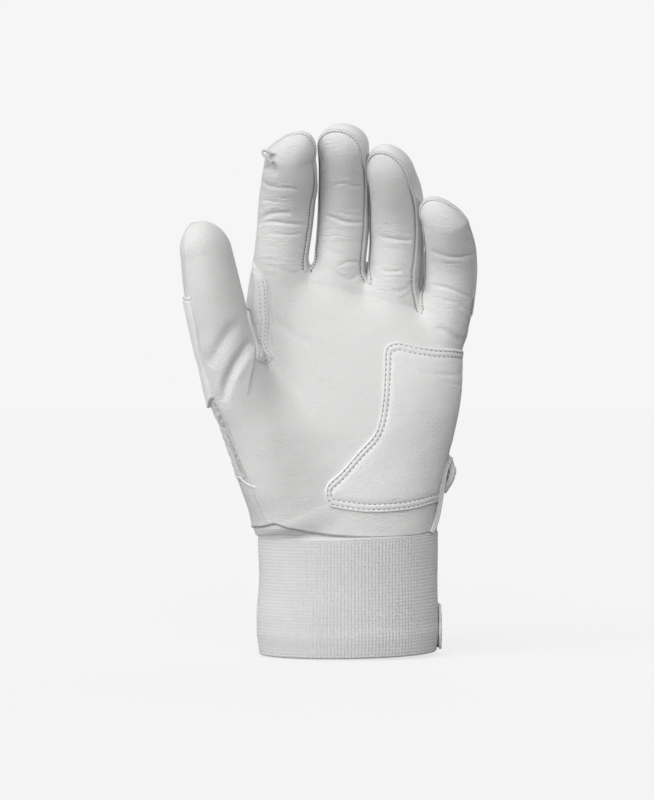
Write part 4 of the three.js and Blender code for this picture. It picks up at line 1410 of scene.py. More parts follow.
def finger_seams(name):
    """The welt and the stitches along a finger's front seam, and the flat seam behind."""
    path, facing = seam_on_leather(fields[name], welt_points(name))
    from_end = np.minimum(np.arange(len(path)), np.arange(len(path))[::-1]) * BAR_STEP
    narrowed = 1 - 0.35 * step_up(from_end / (len(path) * BAR_STEP), 0.12, 0.38)
    profile = round_profile(WELT_WIDTH, WELT_HEIGHT) * [-1, 1]
    welt = swept(path, facing, profile, narrowed * rounded_end(from_end, 1.3))
    add_piece(f"{name}_welt", welt, seam_leather, name, "palm_leather")
    along, across, up = frames(path, facing)
    inner = (path + across * 0.42 + up * 0.14)[3:-3]
    stitches = threads(inner, facing[3:-3], pitch=1.4, length=0.66, width=0.55, height=0.26)
    # The stitches' near-black colour is partly the thread and partly painted shade of the holes they sit in.
    add_piece(f"{name}_stitches", stitches, shade_darkened_thread, name, "binding_tape")

    low = BACK_SEAM_LOWS[name]
    path, facing = seam_on_leather(fields[name], limbs[name].seam_path(low, low, back=True)[::3])
    back_seam = swept(path, facing, round_profile(1.5, 0.35) - [0.75, 0])
    add_piece(f"{name}_back_seam", back_seam, back_textile, name, "back_textile")


for name in FINGERS:
    finger_panels(name)
    finger_seams(name)

# The thumb's own seam
path, facing = seam_on_leather(hand_field, thumb.seam_path(0.765, 0.765)[::3])
welt = swept(path, facing, round_profile(1.4, 0.5) * [-1, 1])
add_piece("thumb_welt", welt, seam_leather, "thumb", "palm_leather")

# Patches: what they share
def leather_place(base):
    """A way from flat points to the bare surface, turned into one to the creased leather."""
    def place(flat):
        points, normals = base(flat)
        return on_leather(points, normals), normals
    return place


def rounded_rim(apart, radius):
    """The share of its thickness that a patch has at a distance from its edge."""
    return np.sqrt(np.clip(apart / radius, 0, 1))


def bump(x, middle, breadth):
    """A soft ridge: 1 at its middle, and next to nothing at two breadths from it."""
    return np.exp(-((x - middle) / breadth) ** 2)


def inset_line(outline, inset, closed=True):
    """A line inside a flat outline, without the places where it would cross itself."""
    inward, _ = inward_normals(outline)
    line = outline + inward * inset
    line = line[distance_to(line, outline) > inset * 0.93]
    return np.concatenate([line, line[:1]]) if closed else line


def patch_stitches(line, place, thickness, inset, **sizes):
    """A row of stitches along a flat line on a patch, some distance from its edge."""
    points, normals = leather_place(place)(line)
    points = points + normals * (thickness(np.full(len(line), inset), points) + 0.05)[:, None]
    return threads(points, normals, **sizes)


# The heel patch, on the outside of the palm, with two rows of stitches along its edge
HEEL_EDGE = [(462, 350.2), (454, 348.8), (434.5, 348), (415, 345.2), (399.5, 341.8), (391, 343), (386, 346.5),
             (384, 353), (383.7, 364), (382.6, 390), (381.2, 405), (378.6, 421), (373.5, 434.5), (360.5, 449),
             (341.7, 470.6), (331, 480), (326.6, 485.5), (325.4, 494.7), (327.7, 502.7), (332.4, 507.6),
             (347, 510.2), (367, 512.6), (391, 512), (412, 509.3), (430, 504.2), (436.6, 502)]
SLIT_EDGE = [(451, 458), (446.6, 468), (443.2, 475), (440, 485.5), (438, 498), (436, 516), (432.6, 532.5)]
HEEL_RADIUS = 40.0  # turns an angle round the palm into a length
HEEL_LEATHER, HEEL_ROWS = 0.85, (1.35, 3.7)
HEEL_RIMS = (0, 0.12, 0.35, 0.7, 1.05, 1.35, 1.65, 2.1, 2.6, 3.1, 3.45, 3.7, 3.95, 4.4, 5.0)
HEEL_STITCH = dict(pitch=2.25, length=0.95, width=0.5, height=0.22)


def heel_place(flat):
    """The palm's bare surface, by length round it and height."""
    return around(hand_field, flat[:, 0] / HEEL_RADIUS, flat[:, 1])


def heel_flat(pixels):
    """Where a line of the picture lies on the palm, by length round it and height."""
    points, _ = through(hand_field, curve(pixels, 1.2))
    return np.stack([np.arctan2(points[:, 1], points[:, 0]) * HEEL_RADIUS, points[:, 2]], 1)


def heel_height(apart, points):
    """How proud the heel patch is."""
    ridge = 0.16 * bump(apart, 0.75, 0.4) + 0.14 * bump(apart, 2.5, 0.7)
    puff = 0.3 * step_up(apart, 3.9, 6) * (1 - 0.6 * step_up(apart, 8, 20))
    rows = sum(0.24 * bump(apart, inset, 0.32) for inset in HEEL_ROWS)
    return HEEL_LEATHER * rounded_rim(apart, 0.35) + ridge + puff - rows


front_edge, tape_edge = heel_flat(HEEL_EDGE), heel_flat(SLIT_EDGE)
heights = np.linspace(front_edge[-1, 1], front_edge[0, 1], 60)[1:-1]
side_y = np.full_like(heights, BACK_SEAM - 0.7)
breadth = np.interp((heights - HEM_HEIGHT) / PALM_LENGTH, PALM_TABLE[:, 0], PALM_TABLE[:, 3]) * PALM_BREADTH
side_x = np.arcsin(side_y / breadth) * HEEL_RADIUS
by_tape = np.interp(heights, tape_edge[::-1, 1], tape_edge[::-1, 0]) + 0.9
above_tape = step_up(heights, tape_edge[0, 1] - 0.5, SLIT_TOP + 1.5)
side_edge = np.stack([by_tape * (1 - above_tape) + side_x * above_tape, heights], 1)
heel_outline = np.concatenate([front_edge, side_edge])
heel = draped(heel_outline, leather_place(heel_place), heel_height, 0.7, HEEL_RIMS)
add_piece("heel_patch_panel", heel, patch_leather, "glove_body", "patch_leather", "heel_patch")

rows = []
for inset in HEEL_ROWS:
    line = curve(inset_line(heel_outline, inset)[::2], 0.5)
    rows.append(patch_stitches(line, heel_place, heel_height, inset, **HEEL_STITCH))
add_piece("heel_patch_stitches", rows, thread, "glove_body", "binding_tape")

# The reinforcement in the crotch of the thumb
CROTCH_EDGE = [(253.6, 262), (256.7, 268.5), (264.4, 277.4), (267.6, 291.4), (268.2, 309.3), (269.2, 322),
               (267.8, 335), (269, 347.6), (273.4, 353.5), (274, 358), (270.8, 361.8), (264.4, 363.6),
               (258.3, 361.6), (255.4, 357.5), (255.6, 347.6), (253.5, 338), (250, 328.4), (247.6, 318),
               (247.3, 309), (248.6, 292), (251, 275)]
CROTCH_ROWS = (1.0, 2.7)
CROTCH_RIMS = (0, 0.12, 0.3, 0.6, 1.0, 1.4, 1.85)
CROTCH_STITCH = dict(pitch=1.8, length=1.0, width=0.42, height=0.16)


def picture_place(flat):
    """The hand's bare surface, by the picture's place in millimetres."""
    return through(hand_field, flat / MM_PER_PIXEL)


def crotch_height(apart, points):
    """How proud the crotch patch is."""
    rows = sum(0.22 * bump(apart, inset, 0.3) for inset in CROTCH_ROWS)
    puff = 1.5 * step_up(apart, 0.5, 4.5)
    return 0.95 * rounded_rim(apart, 0.45) + 0.2 * bump(apart, 1.85, 0.5) - rows + puff


crotch_outline = curve(CROTCH_EDGE + CROTCH_EDGE[:1], 1.2)[:-1] * MM_PER_PIXEL
crotch = draped(crotch_outline, leather_place(picture_place), crotch_height, 0.6, CROTCH_RIMS)
add_piece("crotch_patch_panel", crotch, patch_leather, "glove_body", "patch_leather", "crotch_patch")
rows = []
for inset in CROTCH_ROWS:
    line = inset_line(crotch_outline, inset, closed=False)
    on_right = line[:, 0] > (262 - inset) * MM_PER_PIXEL
    line = curve(line[(line[:, 1] > 280 * MM_PER_PIXEL) & on_right][::2], 0.4)
    rows.append(patch_stitches(line, picture_place, crotch_height, inset, **CROTCH_STITCH))
add_piece("crotch_patch_stitches", rows, light_thread, "glove_body", "binding_tape")


# Edges and seams of the skin: the turned hem with a dark bar of painted shadow along its edge, the seam down
# to the wrist, and the white tape
def bar_on_skin(name, points, facing, width, height, material, slot, *nodes, ends=0.0):
    """A flat rounded bar along points of the bare surface, on the creased leather."""
    path = on_leather(points, facing)
    from_end = np.minimum(np.arange(len(path)), np.arange(len(path))[::-1]) * BAR_STEP
    wide = rounded_end(from_end, ends) if ends else 1.0
    profile = round_profile(width, height) - [width / 2, 0]
    add_piece(name, swept(path, facing, profile, wide), material, "glove_body", slot, *nodes)


def hem_point(angle):
    """The bare surface at the hem, at angles round the wrist."""
    z = np.full(len(angle), 54.5)
    for _ in range(5):
        p, _ = around(hand_field, angle, z)
        z = z - above_line(p, HEM_LINE) * MM_PER_PIXEL
    return around(hand_field, angle, z)


points, facing = hem_point(np.linspace(-math.pi, math.pi, 420)[:-1])
in_slit = slit_value(points) > -0.2
first = np.argmax(in_slit)
points, facing = [np.roll(x, -first, 0)[in_slit.sum():] for x in (points, facing)]
# The hem's edge is a thin dark bar: painted shadow of the gap under the hem.
bar_on_skin("hem_edge", points, facing, 0.8, 0.12, hem_painted_shadow, "palm_leather")

LINE_STEP = 1.1  # pixels between the points of a line drawn in the picture
SIDE_SEAM = [(214, 400.5), (217.5, 405), (224.5, 420), (232, 440), (241, 461), (250, 481), (251.5, 487),
             (258, 503), (265, 519), (271, 524)]
points, facing = through(hand_field, curve(SIDE_SEAM, LINE_STEP))
bar_on_skin("side_seam", points, facing, 0.9, 0.22, seam_leather, "palm_leather")

SIDE_TAPE = [(256, 487.3), (252.5, 486.6), (248.8, 485), (244.5, 482), (240.5, 478)]
SIDE_TAPE_END, SIDE_TAPE_RISE = 2.9, 1.5  # the angle at which it ends behind, and its rise up to there
front, _ = through(hand_field, curve(SIDE_TAPE, LINE_STEP))
angle, height = np.arctan2(front[:, 1], front[:, 0]) % (2 * math.pi), front[:, 2]
angle = np.concatenate([angle, np.linspace(angle[-1], SIDE_TAPE_END, 40)[1:]])
height = np.concatenate([height, height[-1] + SIDE_TAPE_RISE * np.linspace(0, 1, 39)])
points, _ = around(hand_field, angle, height)
points, facing = settle(hand_field, curve(points, BAR_STEP))
bar_on_skin("side_binding_tape", points, facing, 1.0, 0.4, tape, "binding_tape", "side_binding", ends=1.0)

# The raised strip along the thumb's side and the folded tab over its top
STRIP_EDGE = [(191.9, 300.9), (197.4, 328.4), (203.8, 364), (209.3, 384.5), (213, 397)]
STRIP_ROUND = 14.0  # turns an angle round the thumb into a length
STRIP_BACK = -0.85  # the angle at which the strip ends behind
STRIP_RIMS = (0, 0.12, 0.3, 0.6, 1.0)


def thumb_place(flat):
    """The thumb's surface, by length round it from its side to the palm and length along it."""
    angle, t = flat[:, 0] / STRIP_ROUND, flat[:, 1] / thumb.length
    half_width, half_depth = thumb.sizes(t)
    near = thumb.point(t, -half_width * np.cos(angle), half_depth * np.sin(angle))
    return settle(hand_field, near, 3)


def thumb_flat(pixels):
    """Where places of the picture lie on the thumb, by length round it and length along it."""
    points, _ = through(hand_field, pixels)
    t, u, v, _ = thumb.local(points)
    half_width, half_depth = thumb.sizes(t)
    angle = np.arctan2(v / half_depth, -u / half_width)
    return np.stack([angle * STRIP_ROUND, t * thumb.length], 1)


def strip_height(apart, points):
    """How proud the strip is: more so at its lower end."""
    lifted = np.exp(-np.clip(points[:, 2] - 110, 0, 50) / 3.5)
    return (1.1 + 0.6 * lifted) * rounded_rim(apart, 0.3) + 0.1 * bump(apart, 0.5, 0.3)


edge = thumb_flat(curve(STRIP_EDGE, 1.2))
low, high, far = edge[-1, 1], edge[0, 1], STRIP_BACK * STRIP_ROUND
corners = [edge[-1], thumb_flat([(206.6, 409)])[0], (far, low - 3), (far, high), edge[0]]
sides = [edge]
for a, b in zip(corners[:-1], corners[1:]):
    sides.append(np.linspace(a, b, max(3, int(np.hypot(*np.subtract(b, a)) / 0.6)))[1:])
strip = draped(np.concatenate(sides)[:-1], leather_place(thumb_place), strip_height, 0.7, STRIP_RIMS, 0.4)
add_piece("thumb_strip_textile", strip, strip_textile, "thumb", "back_textile", "thumb_side_strip")

top = thumb_flat([(190.5, 299.2)])[0]
across = np.stack([np.linspace(top[0] + 0.6, far, 40), np.full(40, top[1])], 1)
path, facing = leather_place(thumb_place)(across)
tab = swept(path, facing, round_profile(1.9, 0.9, sunk=0.6) - [0.95, 0])
add_piece("thumb_strip_tab", tab, tape, "thumb", "binding_tape")


# The bindings of the slit at the wrist, and the fold of fabric pinched above them
def angle_at_depth(depth, z):
    """The angle round the palm, on the little finger's side, at which its surface has a depth."""
    angle = np.arctan2(depth, 44.0)
    for _ in range(6):
        points, _ = around(hand_field, angle, z)
        angle = np.arctan2(depth, points[:, 0])
    return angle


def binding_height(apart, points):
    """A tape with a cord in its front edge."""
    return 1.25 * rounded_rim(apart, 0.3) - 0.3 * bump(apart, 1.0, 0.3)


def at_depth(pixels, depth):
    """The points at a depth, or at a depth for each, that places of the picture show."""
    d = rays(pixels)
    return EYE + d * ((depth - EYE[1]) / d[:, 1])[:, None]


z = np.linspace(tape_edge[-1, 1], tape_edge[0, 1], 50)
back_edge = np.stack([angle_at_depth(slit_edges(z)[0] + 0.5, z) * HEEL_RADIUS, z], 1)
binding = draped(np.concatenate([tape_edge, back_edge]), leather_place(heel_place), binding_height, 0.6,
                 (0, 0.12, 0.3, 0.7, 1.0, 1.3))
# The tape stands out from the side as a rim with a groove along it, from the top of the fold down
SLIT_RIM = [(452.3, 457.4), (449.8, 461), (447.3, 466.5), (445.2, 473), (443.7, 481), (442, 491),
            (440.5, 501), (438.5, 513), (435.6, 524), (432, 532.6)]
RIM_PROFILE = [(-1.1, -1.6), (-1.1, 0.0), (-0.9, 0.35), (-0.5, 0.5), (-0.15, 0.3), (0.05, 0.2), (0.35, 0.45),
               (0.8, 0.4), (1.1, 0.0), (1.1, -1.6)]
DEPTH_SPREAD = 17  # points over which the rim's depth is evened out
pixels = curve(SLIT_RIM, LINE_STEP)
points, _ = through(hand_field, pixels - [3.5, 0])
depth = np.pad(points[:, 1], DEPTH_SPREAD // 2, "edge")
depth = np.convolve(depth, np.full(DEPTH_SPREAD, 1 / DEPTH_SPREAD), "valid") - 0.6
rim = at_depth(pixels, depth)
out = np.tile([[0.35, -0.94, 0.0]], (len(rim), 1))
rim_bar = swept(rim, out, RIM_PROFILE, rounded_end(np.arange(len(rim)) * 0.48, 1.0))
add_piece("slit_front_tape", [binding, rim_bar], slit_tape, "glove_body", "binding_tape",
          "slit_front_binding")
z = np.linspace(53.5, 88.5, 80)
points, facing = around(hand_field, angle_at_depth(slit_edges(z)[1] + 0.9, z), z)
bar_on_skin("slit_back_tape", points, facing, 2.6, 0.9, tape, "binding_tape", "slit_back_binding",
            ends=1.2)

# Path, width and thickness of each ridge: the gathered fabric behind, its lip and two pleats in it
FOLD_RIDGES = [
    ([(42.5, 5.5, 90), (44.4, 5.2, 87.5), (45.6, 5.0, 84), (46.0, 4.9, 80), (45.4, 5.0, 76.5),
      (43.0, 5.4, 71)], 5.0, 5.0),
    ([(44.6, 0.8, 88.0), (46.4, 0.4, 85.4), (47.5, 0.6, 81.0), (47.3, 1.0, 77.8), (45.6, 1.6, 74.4),
      (43.2, 2.2, 70.6)], 3.2, 2.4),
    ([(45.0, 0.6, 85.2), (46.0, 0.8, 83.4), (46.8, 0.4, 81.4)], 1.5, 1.6),
    ([(44.8, 2.0, 79.2), (45.8, 1.4, 78.6), (46.6, 1.0, 77.4)], 1.3, 1.5),
]
folds = []
for points, width, thickness in FOLD_RIDGES:
    path = curve(points, 0.4)
    crumpled = path + [[0.45, 0.2, 0]] * noise(path, (3, 3, 1.7), 41)[:, None]
    out = np.tile([[1.0, -0.3, 0.0]], (len(path), 1))
    profile = round_profile(width, thickness, sunk=0.0) - [width / 2, thickness]
    folds.append(swept(crumpled, out, profile))
add_piece("slit_fold", folds, back_textile, "glove_body", "back_textile")

# The loop of leather left at the tip of the index finger
TIP_LOOP = [(274, 154), (268.5, 151.8), (264.2, 150.2), (262.2, 151.8), (263.6, 155), (267.5, 159.2),
            (272.5, 162.5)]
LOOP_PROFILE = [(-0.45, -1.6), (0.45, -1.6), (0.5, 0.4), (0.3, 0.75), (-0.3, 0.75), (-0.5, 0.4)]
base, _ = through(fields["index"], [(274, 156)])
path = at_depth(curve(TIP_LOOP, 0.9), base[0, 1] - 1.0)
facing = np.tile([[0.0, -1.0, 0.0]], (len(path), 1))
add_piece("index_tip_loop", swept(path, facing, LOOP_PROFILE), seam_leather, "index", "palm_leather")

# The padded segments over the knuckles, on the back
PAD_LOW = [(-0.33, 0.7), (-0.29, 0.58), (0.34, 0.45), (0.4, 0.47), (0.43, 0.59)]
PAD_HIGH = [(-0.33, 0.7), (-0.29, 0.85), (-0.2, 0.85), (0.38, 0.66), (0.43, 0.59)]
PAD_ROW, PAD_GAP = 1.5, 2.4  # the inset of the stitches, and the groove between two pads
PAD_RIMS = (0, 0.15, 0.5, 1.0, 1.5, 2.0, 2.8, 4.0)
PAD_STITCH = dict(pitch=2.4, length=1.3, width=0.5, height=0.2)


def behind_place(flat):
    """The back of the hand, by place across it and height."""
    return from_behind(hand_field, flat[:, 0], flat[:, 1])


def pad_height(apart, points):
    """How proud a pad is."""
    crown = 2.3 * np.sqrt(1 - (1 - np.clip(apart / 6.5, 0.001, 1)) ** 2)
    return 0.35 + crown - 0.5 * bump(apart, PAD_ROW, 0.35) * np.clip(crown, 0, 1)


def softened(outline):
    """A closed outline with its corners rounded."""
    outline = curve(np.concatenate([outline, outline[:1]]), 0.7)[:-1]
    for _ in range(8):
        outline = (np.roll(outline, 1, 0) + 2 * outline + np.roll(outline, -1, 0)) / 4
    return outline


low, high = [np.array(x) * [PALM_BREADTH, PALM_LENGTH] + [0, HEM_HEIGHT] for x in (PAD_LOW, PAD_HIGH)]
left, right = low[0, 0], low[-1, 0]
cuts = [left, left + (right - left) * 0.33, left + (right - left) * 0.66, right]
pads, rows = [], []
for i in range(3):
    x = np.linspace(cuts[i] + PAD_GAP / 2 * (i > 0), cuts[i + 1] - PAD_GAP / 2 * (i < 2), 24)
    below, above = np.interp(x, low[:, 0], low[:, 1]), np.interp(x, high[:, 0], high[:, 1])
    outline = np.concatenate([np.stack([x, below], 1), np.stack([x, above], 1)[::-1]])
    apart = np.linalg.norm(np.diff(outline, axis=0), axis=1)
    outline = softened(outline[np.concatenate([[True], apart > 0.3])])
    pads.append(draped(outline, leather_place(behind_place), pad_height, 0.9, PAD_RIMS))
    line = curve(inset_line(outline, PAD_ROW)[::2], 0.5)
    rows.append(patch_stitches(line, behind_place, pad_height, PAD_ROW, **PAD_STITCH))
add_piece("knuckle_pads", pads, pad_leather, "glove_body", "back_textile", "knuckle_pad")
add_piece("knuckle_pad_stitches", rows, thread, "glove_body", "binding_tape")

# Two flat seams up the back of the hand, each with a row of stitches
BACK_LINES = {
    "left": [(-22, 57), (-21, 75), (-19, 95), (-17, 116)],
    "right": [(21, 57), (21, 75), (22, 92), (24, 103)],
}
for name, line in BACK_LINES.items():
    points, facing = behind_place(curve(line, 0.6))
    bar_on_skin(f"back_seam_{name}", points, facing, 2.4, 0.4, seam_leather, "back_textile")
    path = on_leather(points, facing, 0.42)
    stitches = threads(path, facing, pitch=2.2, length=1.2, width=0.45, height=0.16)
    add_piece(f"back_stitches_{name}", stitches, thread, "glove_body", "binding_tape")

# The cuff
LIFT, RIM_LIFT = 2.6, 0.55  # how far the top rim rises, and the share of it at the floor
HEM_FOLD, TOP_HEM, END_SINK = 7.2, 0.75, 1.35
DEGREE = math.pi / 180


def cuff_lift(angle):
    """The cuff's rims rise a little towards the little finger."""
    return LIFT * (0.5 + 0.5 * np.cos(angle)) ** 3


def cuff_point(angle, z, out):
    """A point on the cuff's oval, some distance outside it, with the slack of worn elastic."""
    slack = 0.7 * bump(z, 16, 9) * np.clip(-np.cos(angle) * 1.4, 0, 1) - 0.35 * bump(z, 34, 10)
    slack = slack + 0.18 * np.sin(angle * 5 + z * 0.12) * np.sin(z * 0.11 + 1)
    half_width, half_depth = CUFF_WIDTH / 2 + out + slack, CUFF_DEPTH / 2 + out + slack
    raised = cuff_lift(angle) * (RIM_LIFT + (1 - RIM_LIFT) * step_up(z, 4, 46))
    return np.stack([half_width * np.cos(angle), half_depth * np.sin(angle), z + raised], -1)


def arc_angles(from_angle, to_angle, step):
    """Angles that part the oval in equal lengths, and the length up to each."""
    dense = np.linspace(from_angle, to_angle, 2000) * DEGREE
    gone = lengths_along(np.stack([CUFF_WIDTH / 2 * np.cos(dense), CUFF_DEPTH / 2 * np.sin(dense)], 1))
    at = np.append(np.arange(0, gone[-1] - 0.1 * step, step), gone[-1])
    return np.interp(at, gone, dense), at


def end_sink(angle):
    """How far the strap and what is on it sink on to the cuff near the strap's end."""
    return END_SINK * (1 - step_up(angle / DEGREE, 2, 30))


def oval_normal(angle):
    """The direction out of the cuff's oval."""
    n = np.stack([np.cos(angle) / CUFF_WIDTH, np.sin(angle) / CUFF_DEPTH, np.zeros_like(angle)], -1)
    return n / np.linalg.norm(n, axis=-1)[..., None]


def cuff_strip(name, from_angle, to_angle, profile, material, body, slot, *nodes, step, relief_of=None,
               limits=None):
    """A strip round the cuff. The profile gives height, distance outside the oval, and 1 where the
    surface is the face that shows. relief_of(length, height) adds to that face, and
    limits(lengths, all of the length) gives the strip's own low and high edge along it."""
    angles, lengths = arc_angles(from_angle, to_angle, step)
    profile = np.asarray(profile, float)
    n, m = len(angles), len(profile)
    a, s = np.repeat(angles, m), np.repeat(lengths, m)
    z, out, face = [np.tile(profile[:, i], n) for i in range(3)]
    if limits:
        low, high = profile[:, 0].min(), profile[:, 0].max()
        own_low, own_high = limits(s, lengths[-1])
        z = own_low + (z - low) / (high - low) * (own_high - own_low)
    if relief_of:
        out = out + face * relief_of(s, z)
    if body == "strap":
        out = out - end_sink(a)
    quads, caps = tube_faces(n, m)
    obj = tidy_normals(mesh_object(name, cuff_point(a, z, out), [quads, caps[:, ::-1]], material))
    layer = obj.data.uv_layers.new(name="lengths")
    corner = np.zeros(len(obj.data.loops), np.int32)
    obj.data.loops.foreach_get("vertex_index", corner)
    layer.data.foreach_set("uv", (np.stack([s, z], 1)[corner] * MM).astype(np.float32).ravel())
    return place_piece(obj, body, slot, *nodes)


def strip_profile(low, high, inner, outer, step, rim, swell=lambda z: 0.0):
    """A closed section between two heights, its face outside, with rounded rims."""
    face = [[h, outer + swell(h), 1] for h in np.arange(low + rim, high - rim + 0.01, step)]
    turns = [(rim - rim * math.sin(t), rim - rim * math.cos(t)) for t in (0.5, 1.0, math.pi / 2)]
    over = [[high - down, outer + swell(high) - in_by, 0] for down, in_by in turns]
    under = [[low + up, outer + swell(low) - in_by, 0] for up, in_by in turns[::-1]]
    back = [[high - 0.2, inner + 0.3, 0], [high - rim, inner, 0]]
    back += [[low + rim, inner, 0], [low + 0.2, inner + 0.3, 0]]
    return face + over + back + under


def weave(length, z):
    """Square pillows of woven elastic."""
    across = np.abs(np.sin(math.pi * length / WEAVE_ACROSS))
    up = np.abs(np.sin(math.pi * z / WEAVE_UP))
    return 0.28 * (across * up) ** 0.6 - 0.12


def ribs(length, z):
    """Upright ribs of the elastic behind."""
    return 0.2 * np.abs(np.sin(math.pi * length / 2.1)) - 0.1


def hem_swell(z):
    """The cuff's double hem is softly fuller above its fold and turns in below it."""
    below = np.clip(HEM_FOLD - z, 0, HEM_FOLD) / HEM_FOLD
    return 0.3 * bump(z, HEM_FOLD + 2.0, 3.0) - 0.75 * below ** 1.5


samples = 5  # points for each small square of the weave
weave_step, row_step = WEAVE_ACROSS / samples, WEAVE_UP / samples
band_from, band_to = STRAP_ROOT_ANGLE, 360 + BAND_END_ANGLE
band_top = CUFF_HEIGHT - TOP_HEM + 0.4
band = strip_profile(0.0, band_top, -BAND_THICKNESS, 0.0, row_step, 0.7, hem_swell)
cuff_strip("cuff_band_webbing", band_from, band_to, band, elastic, "glove_body", "elastic_webbing",
           "cuff_band", "cuff_lower_hem", step=weave_step, relief_of=weave)
top_hem = strip_profile(CUFF_HEIGHT - TOP_HEM, CUFF_HEIGHT, -BAND_THICKNESS, 0.14, 0.3, 0.35)
cuff_strip("cuff_top_hem_edge", band_from, band_to, top_hem, light_edge, "glove_body", "elastic_webbing",
           "cuff_top_hem", step=0.8)
back = strip_profile(0.0, CUFF_HEIGHT, -BAND_THICKNESS, 0.0, row_step, 0.9)
cuff_strip("cuff_back_webbing", BAND_END_ANGLE + 1, band_from - 1, back, elastic, "glove_body",
           "elastic_webbing", "cuff_back_panel", step=weave_step, relief_of=ribs)

# The strap over the back of the cuff, with its fastener, its sewn foot and the edge of its end
STRAP_INNER, STRAP_OUTER, STITCH_INSET = 1.9, 3.0, 2.2
STRAP_HIGH = STRAP_LOW + STRAP_HEIGHT
STRAP_STITCH = dict(pitch=2.2, length=1.2, width=0.5, height=0.2)


def flat_noise(s, z, scale, seed):
    """Noise over a strip, by length along it and height."""
    return noise(np.stack([s, np.zeros_like(s), z], 1), scale, seed)


def strap_limits(s, length):
    """The strap narrows over its middle and has round corners at its end; s runs from the end."""
    high = STRAP_LOW + STRAP_END_HEIGHT + (STRAP_HEIGHT - STRAP_END_HEIGHT) * step_up(s, 27, 60)
    drop = 1 - step_up(s, 6, 30)
    corner = lambda radius: radius - np.sqrt(radius ** 2 - (radius - np.clip(s, 0, radius)) ** 2)
    return STRAP_LOW - 3.0 * drop + corner(1.5), high - 4.5 * drop - corner(7.0)


def foot_limits(s, length):
    """The strap's sewn foot is as high all along."""
    return np.full_like(s, STRAP_LOW), np.full_like(s, STRAP_HIGH)


def sewn_edge(limits, length):
    """The dip of a row of stitches near every edge of a strip, and the leather's own unevenness."""
    def shape(s, z):
        low, high = limits(s, length)
        apart = np.minimum(np.minimum(z - low, high - z), np.minimum(s, length - s))
        dip = 0.3 * bump(apart, STITCH_INSET, 0.4) + 0.3 * step_up(0.8 - apart, 0, 0.8)
        puff = 0.25 * step_up(apart, STITCH_INSET, STITCH_INSET + 3)
        uneven = 0.12 * flat_noise(s, z, (9, 9, 7), 21) + 0.05 * flat_noise(s, z, (2.5, 1, 2.5), 22)
        return puff - dip + uneven
    return shape


def cuff_stitches(from_angle, limits, length, out):
    """Stitches inside every edge of a strip that starts at an angle."""
    near, far = STITCH_INSET, length - STITCH_INSET
    s = np.concatenate([np.linspace(near, far, 80), np.full(20, far),
                        np.linspace(far, near, 80), np.full(20, near)])
    low, high = limits(s, length)
    low, high = low + STITCH_INSET, high - STITCH_INSET
    rise = np.concatenate([np.zeros(80), np.linspace(0, 1, 20), np.ones(80), np.linspace(1, 0, 20)])
    flat = curve(np.stack([s, low + (high - low) * rise], 1)[::2], 0.5)
    angles, lengths = arc_angles(from_angle, from_angle + 200, 0.5)
    angle = np.interp(flat[:, 0], lengths, angles)
    points = cuff_point(angle, flat[:, 1], out - (end_sink(angle) if from_angle == STRAP_END_ANGLE else 0))
    return threads(points, oval_normal(angle), **STRAP_STITCH)


def strap_part(kind, body, start, end, limits, inner):
    """One part of the strap, the tab or its sewn foot, with its stitches."""
    length = arc_angles(start, end, 0.5)[1][-1]
    section = strip_profile(STRAP_LOW, STRAP_HIGH, inner, STRAP_OUTER, strap_step, 0.45)
    cuff_strip(f"{kind}_leather", start, end, section, strap_leather, body, "strap_leather", kind,
               step=strap_step, relief_of=sewn_edge(limits, length), limits=limits)
    stitches = cuff_stitches(start, limits, length, STRAP_OUTER - 0.1)
    add_piece(f"{kind}_stitches", stitches, thread, body, "binding_tape")


def loop_tufts(s, z):
    """The uneven pile of the loop patch."""
    return 0.14 * flat_noise(s, z, (0.9, 1, 0.9), 31)


strap_step = 0.6
foot_end = STRAP_ROOT_ANGLE + STRAP_FOOT_ANGLE
strap_part("strap_tab", "strap", STRAP_END_ANGLE, STRAP_ROOT_ANGLE - 0.5, strap_limits, STRAP_INNER)
strap_part("strap_foot", "glove_body", STRAP_ROOT_ANGLE, foot_end, foot_limits, -0.2)
trim = strip_profile(STRAP_LOW - 1.6, STRAP_LOW + 8.5, STRAP_INNER + 0.1, STRAP_OUTER + 0.05, 0.6, 0.35)
cuff_strip("strap_end_edge", STRAP_END_ANGLE - 1.4, STRAP_END_ANGLE, trim, tape, "strap", "binding_tape",
           "strap_end_trim", step=0.3)
cuff_strip("loop_patch_face", 22, 88, strip_profile(8.0, 40.0, -0.1, 0.7, 0.6, 0.3), loops, "glove_body",
           "hook_and_loop", "loop_patch", step=0.6, relief_of=loop_tufts)
cuff_strip("hook_patch_face", 14, 62, strip_profile(8.0, 19.3, 1.15, 2.0, 0.6, 0.2), hooks, "strap",
           "hook_and_loop", "hook_patch", step=0.6)

# The lining: inside the cuff, and flaring up under the hem of the palm
LINING_POINTS, LINING_INSIDE = 260, -3.7
lining_angles = np.linspace(0, 2 * math.pi, LINING_POINTS, endpoint=False)
# Height and distance outside the cuff's oval of its rings up to the cuff's rim
LINING_ROWS = [(6, LINING_INSIDE), (6, -2.75), (20, -2.75), (40, -2.75), (49, -2.6), (50.5, -1.4),
               (51.3, -0.5), (51.8, -0.05)]


def cuff_ring(z, out):
    """The lining's ring inside the cuff, at a height."""
    return cuff_point(lining_angles, np.full(LINING_POINTS, float(z)), out)


def lining_ring(z, depth):
    """The lining's ring at a height, some distance under the creased leather."""
    points, normals = around(hand_field, lining_angles, np.full(LINING_POINTS, z))
    return on_leather(points, normals, -depth)


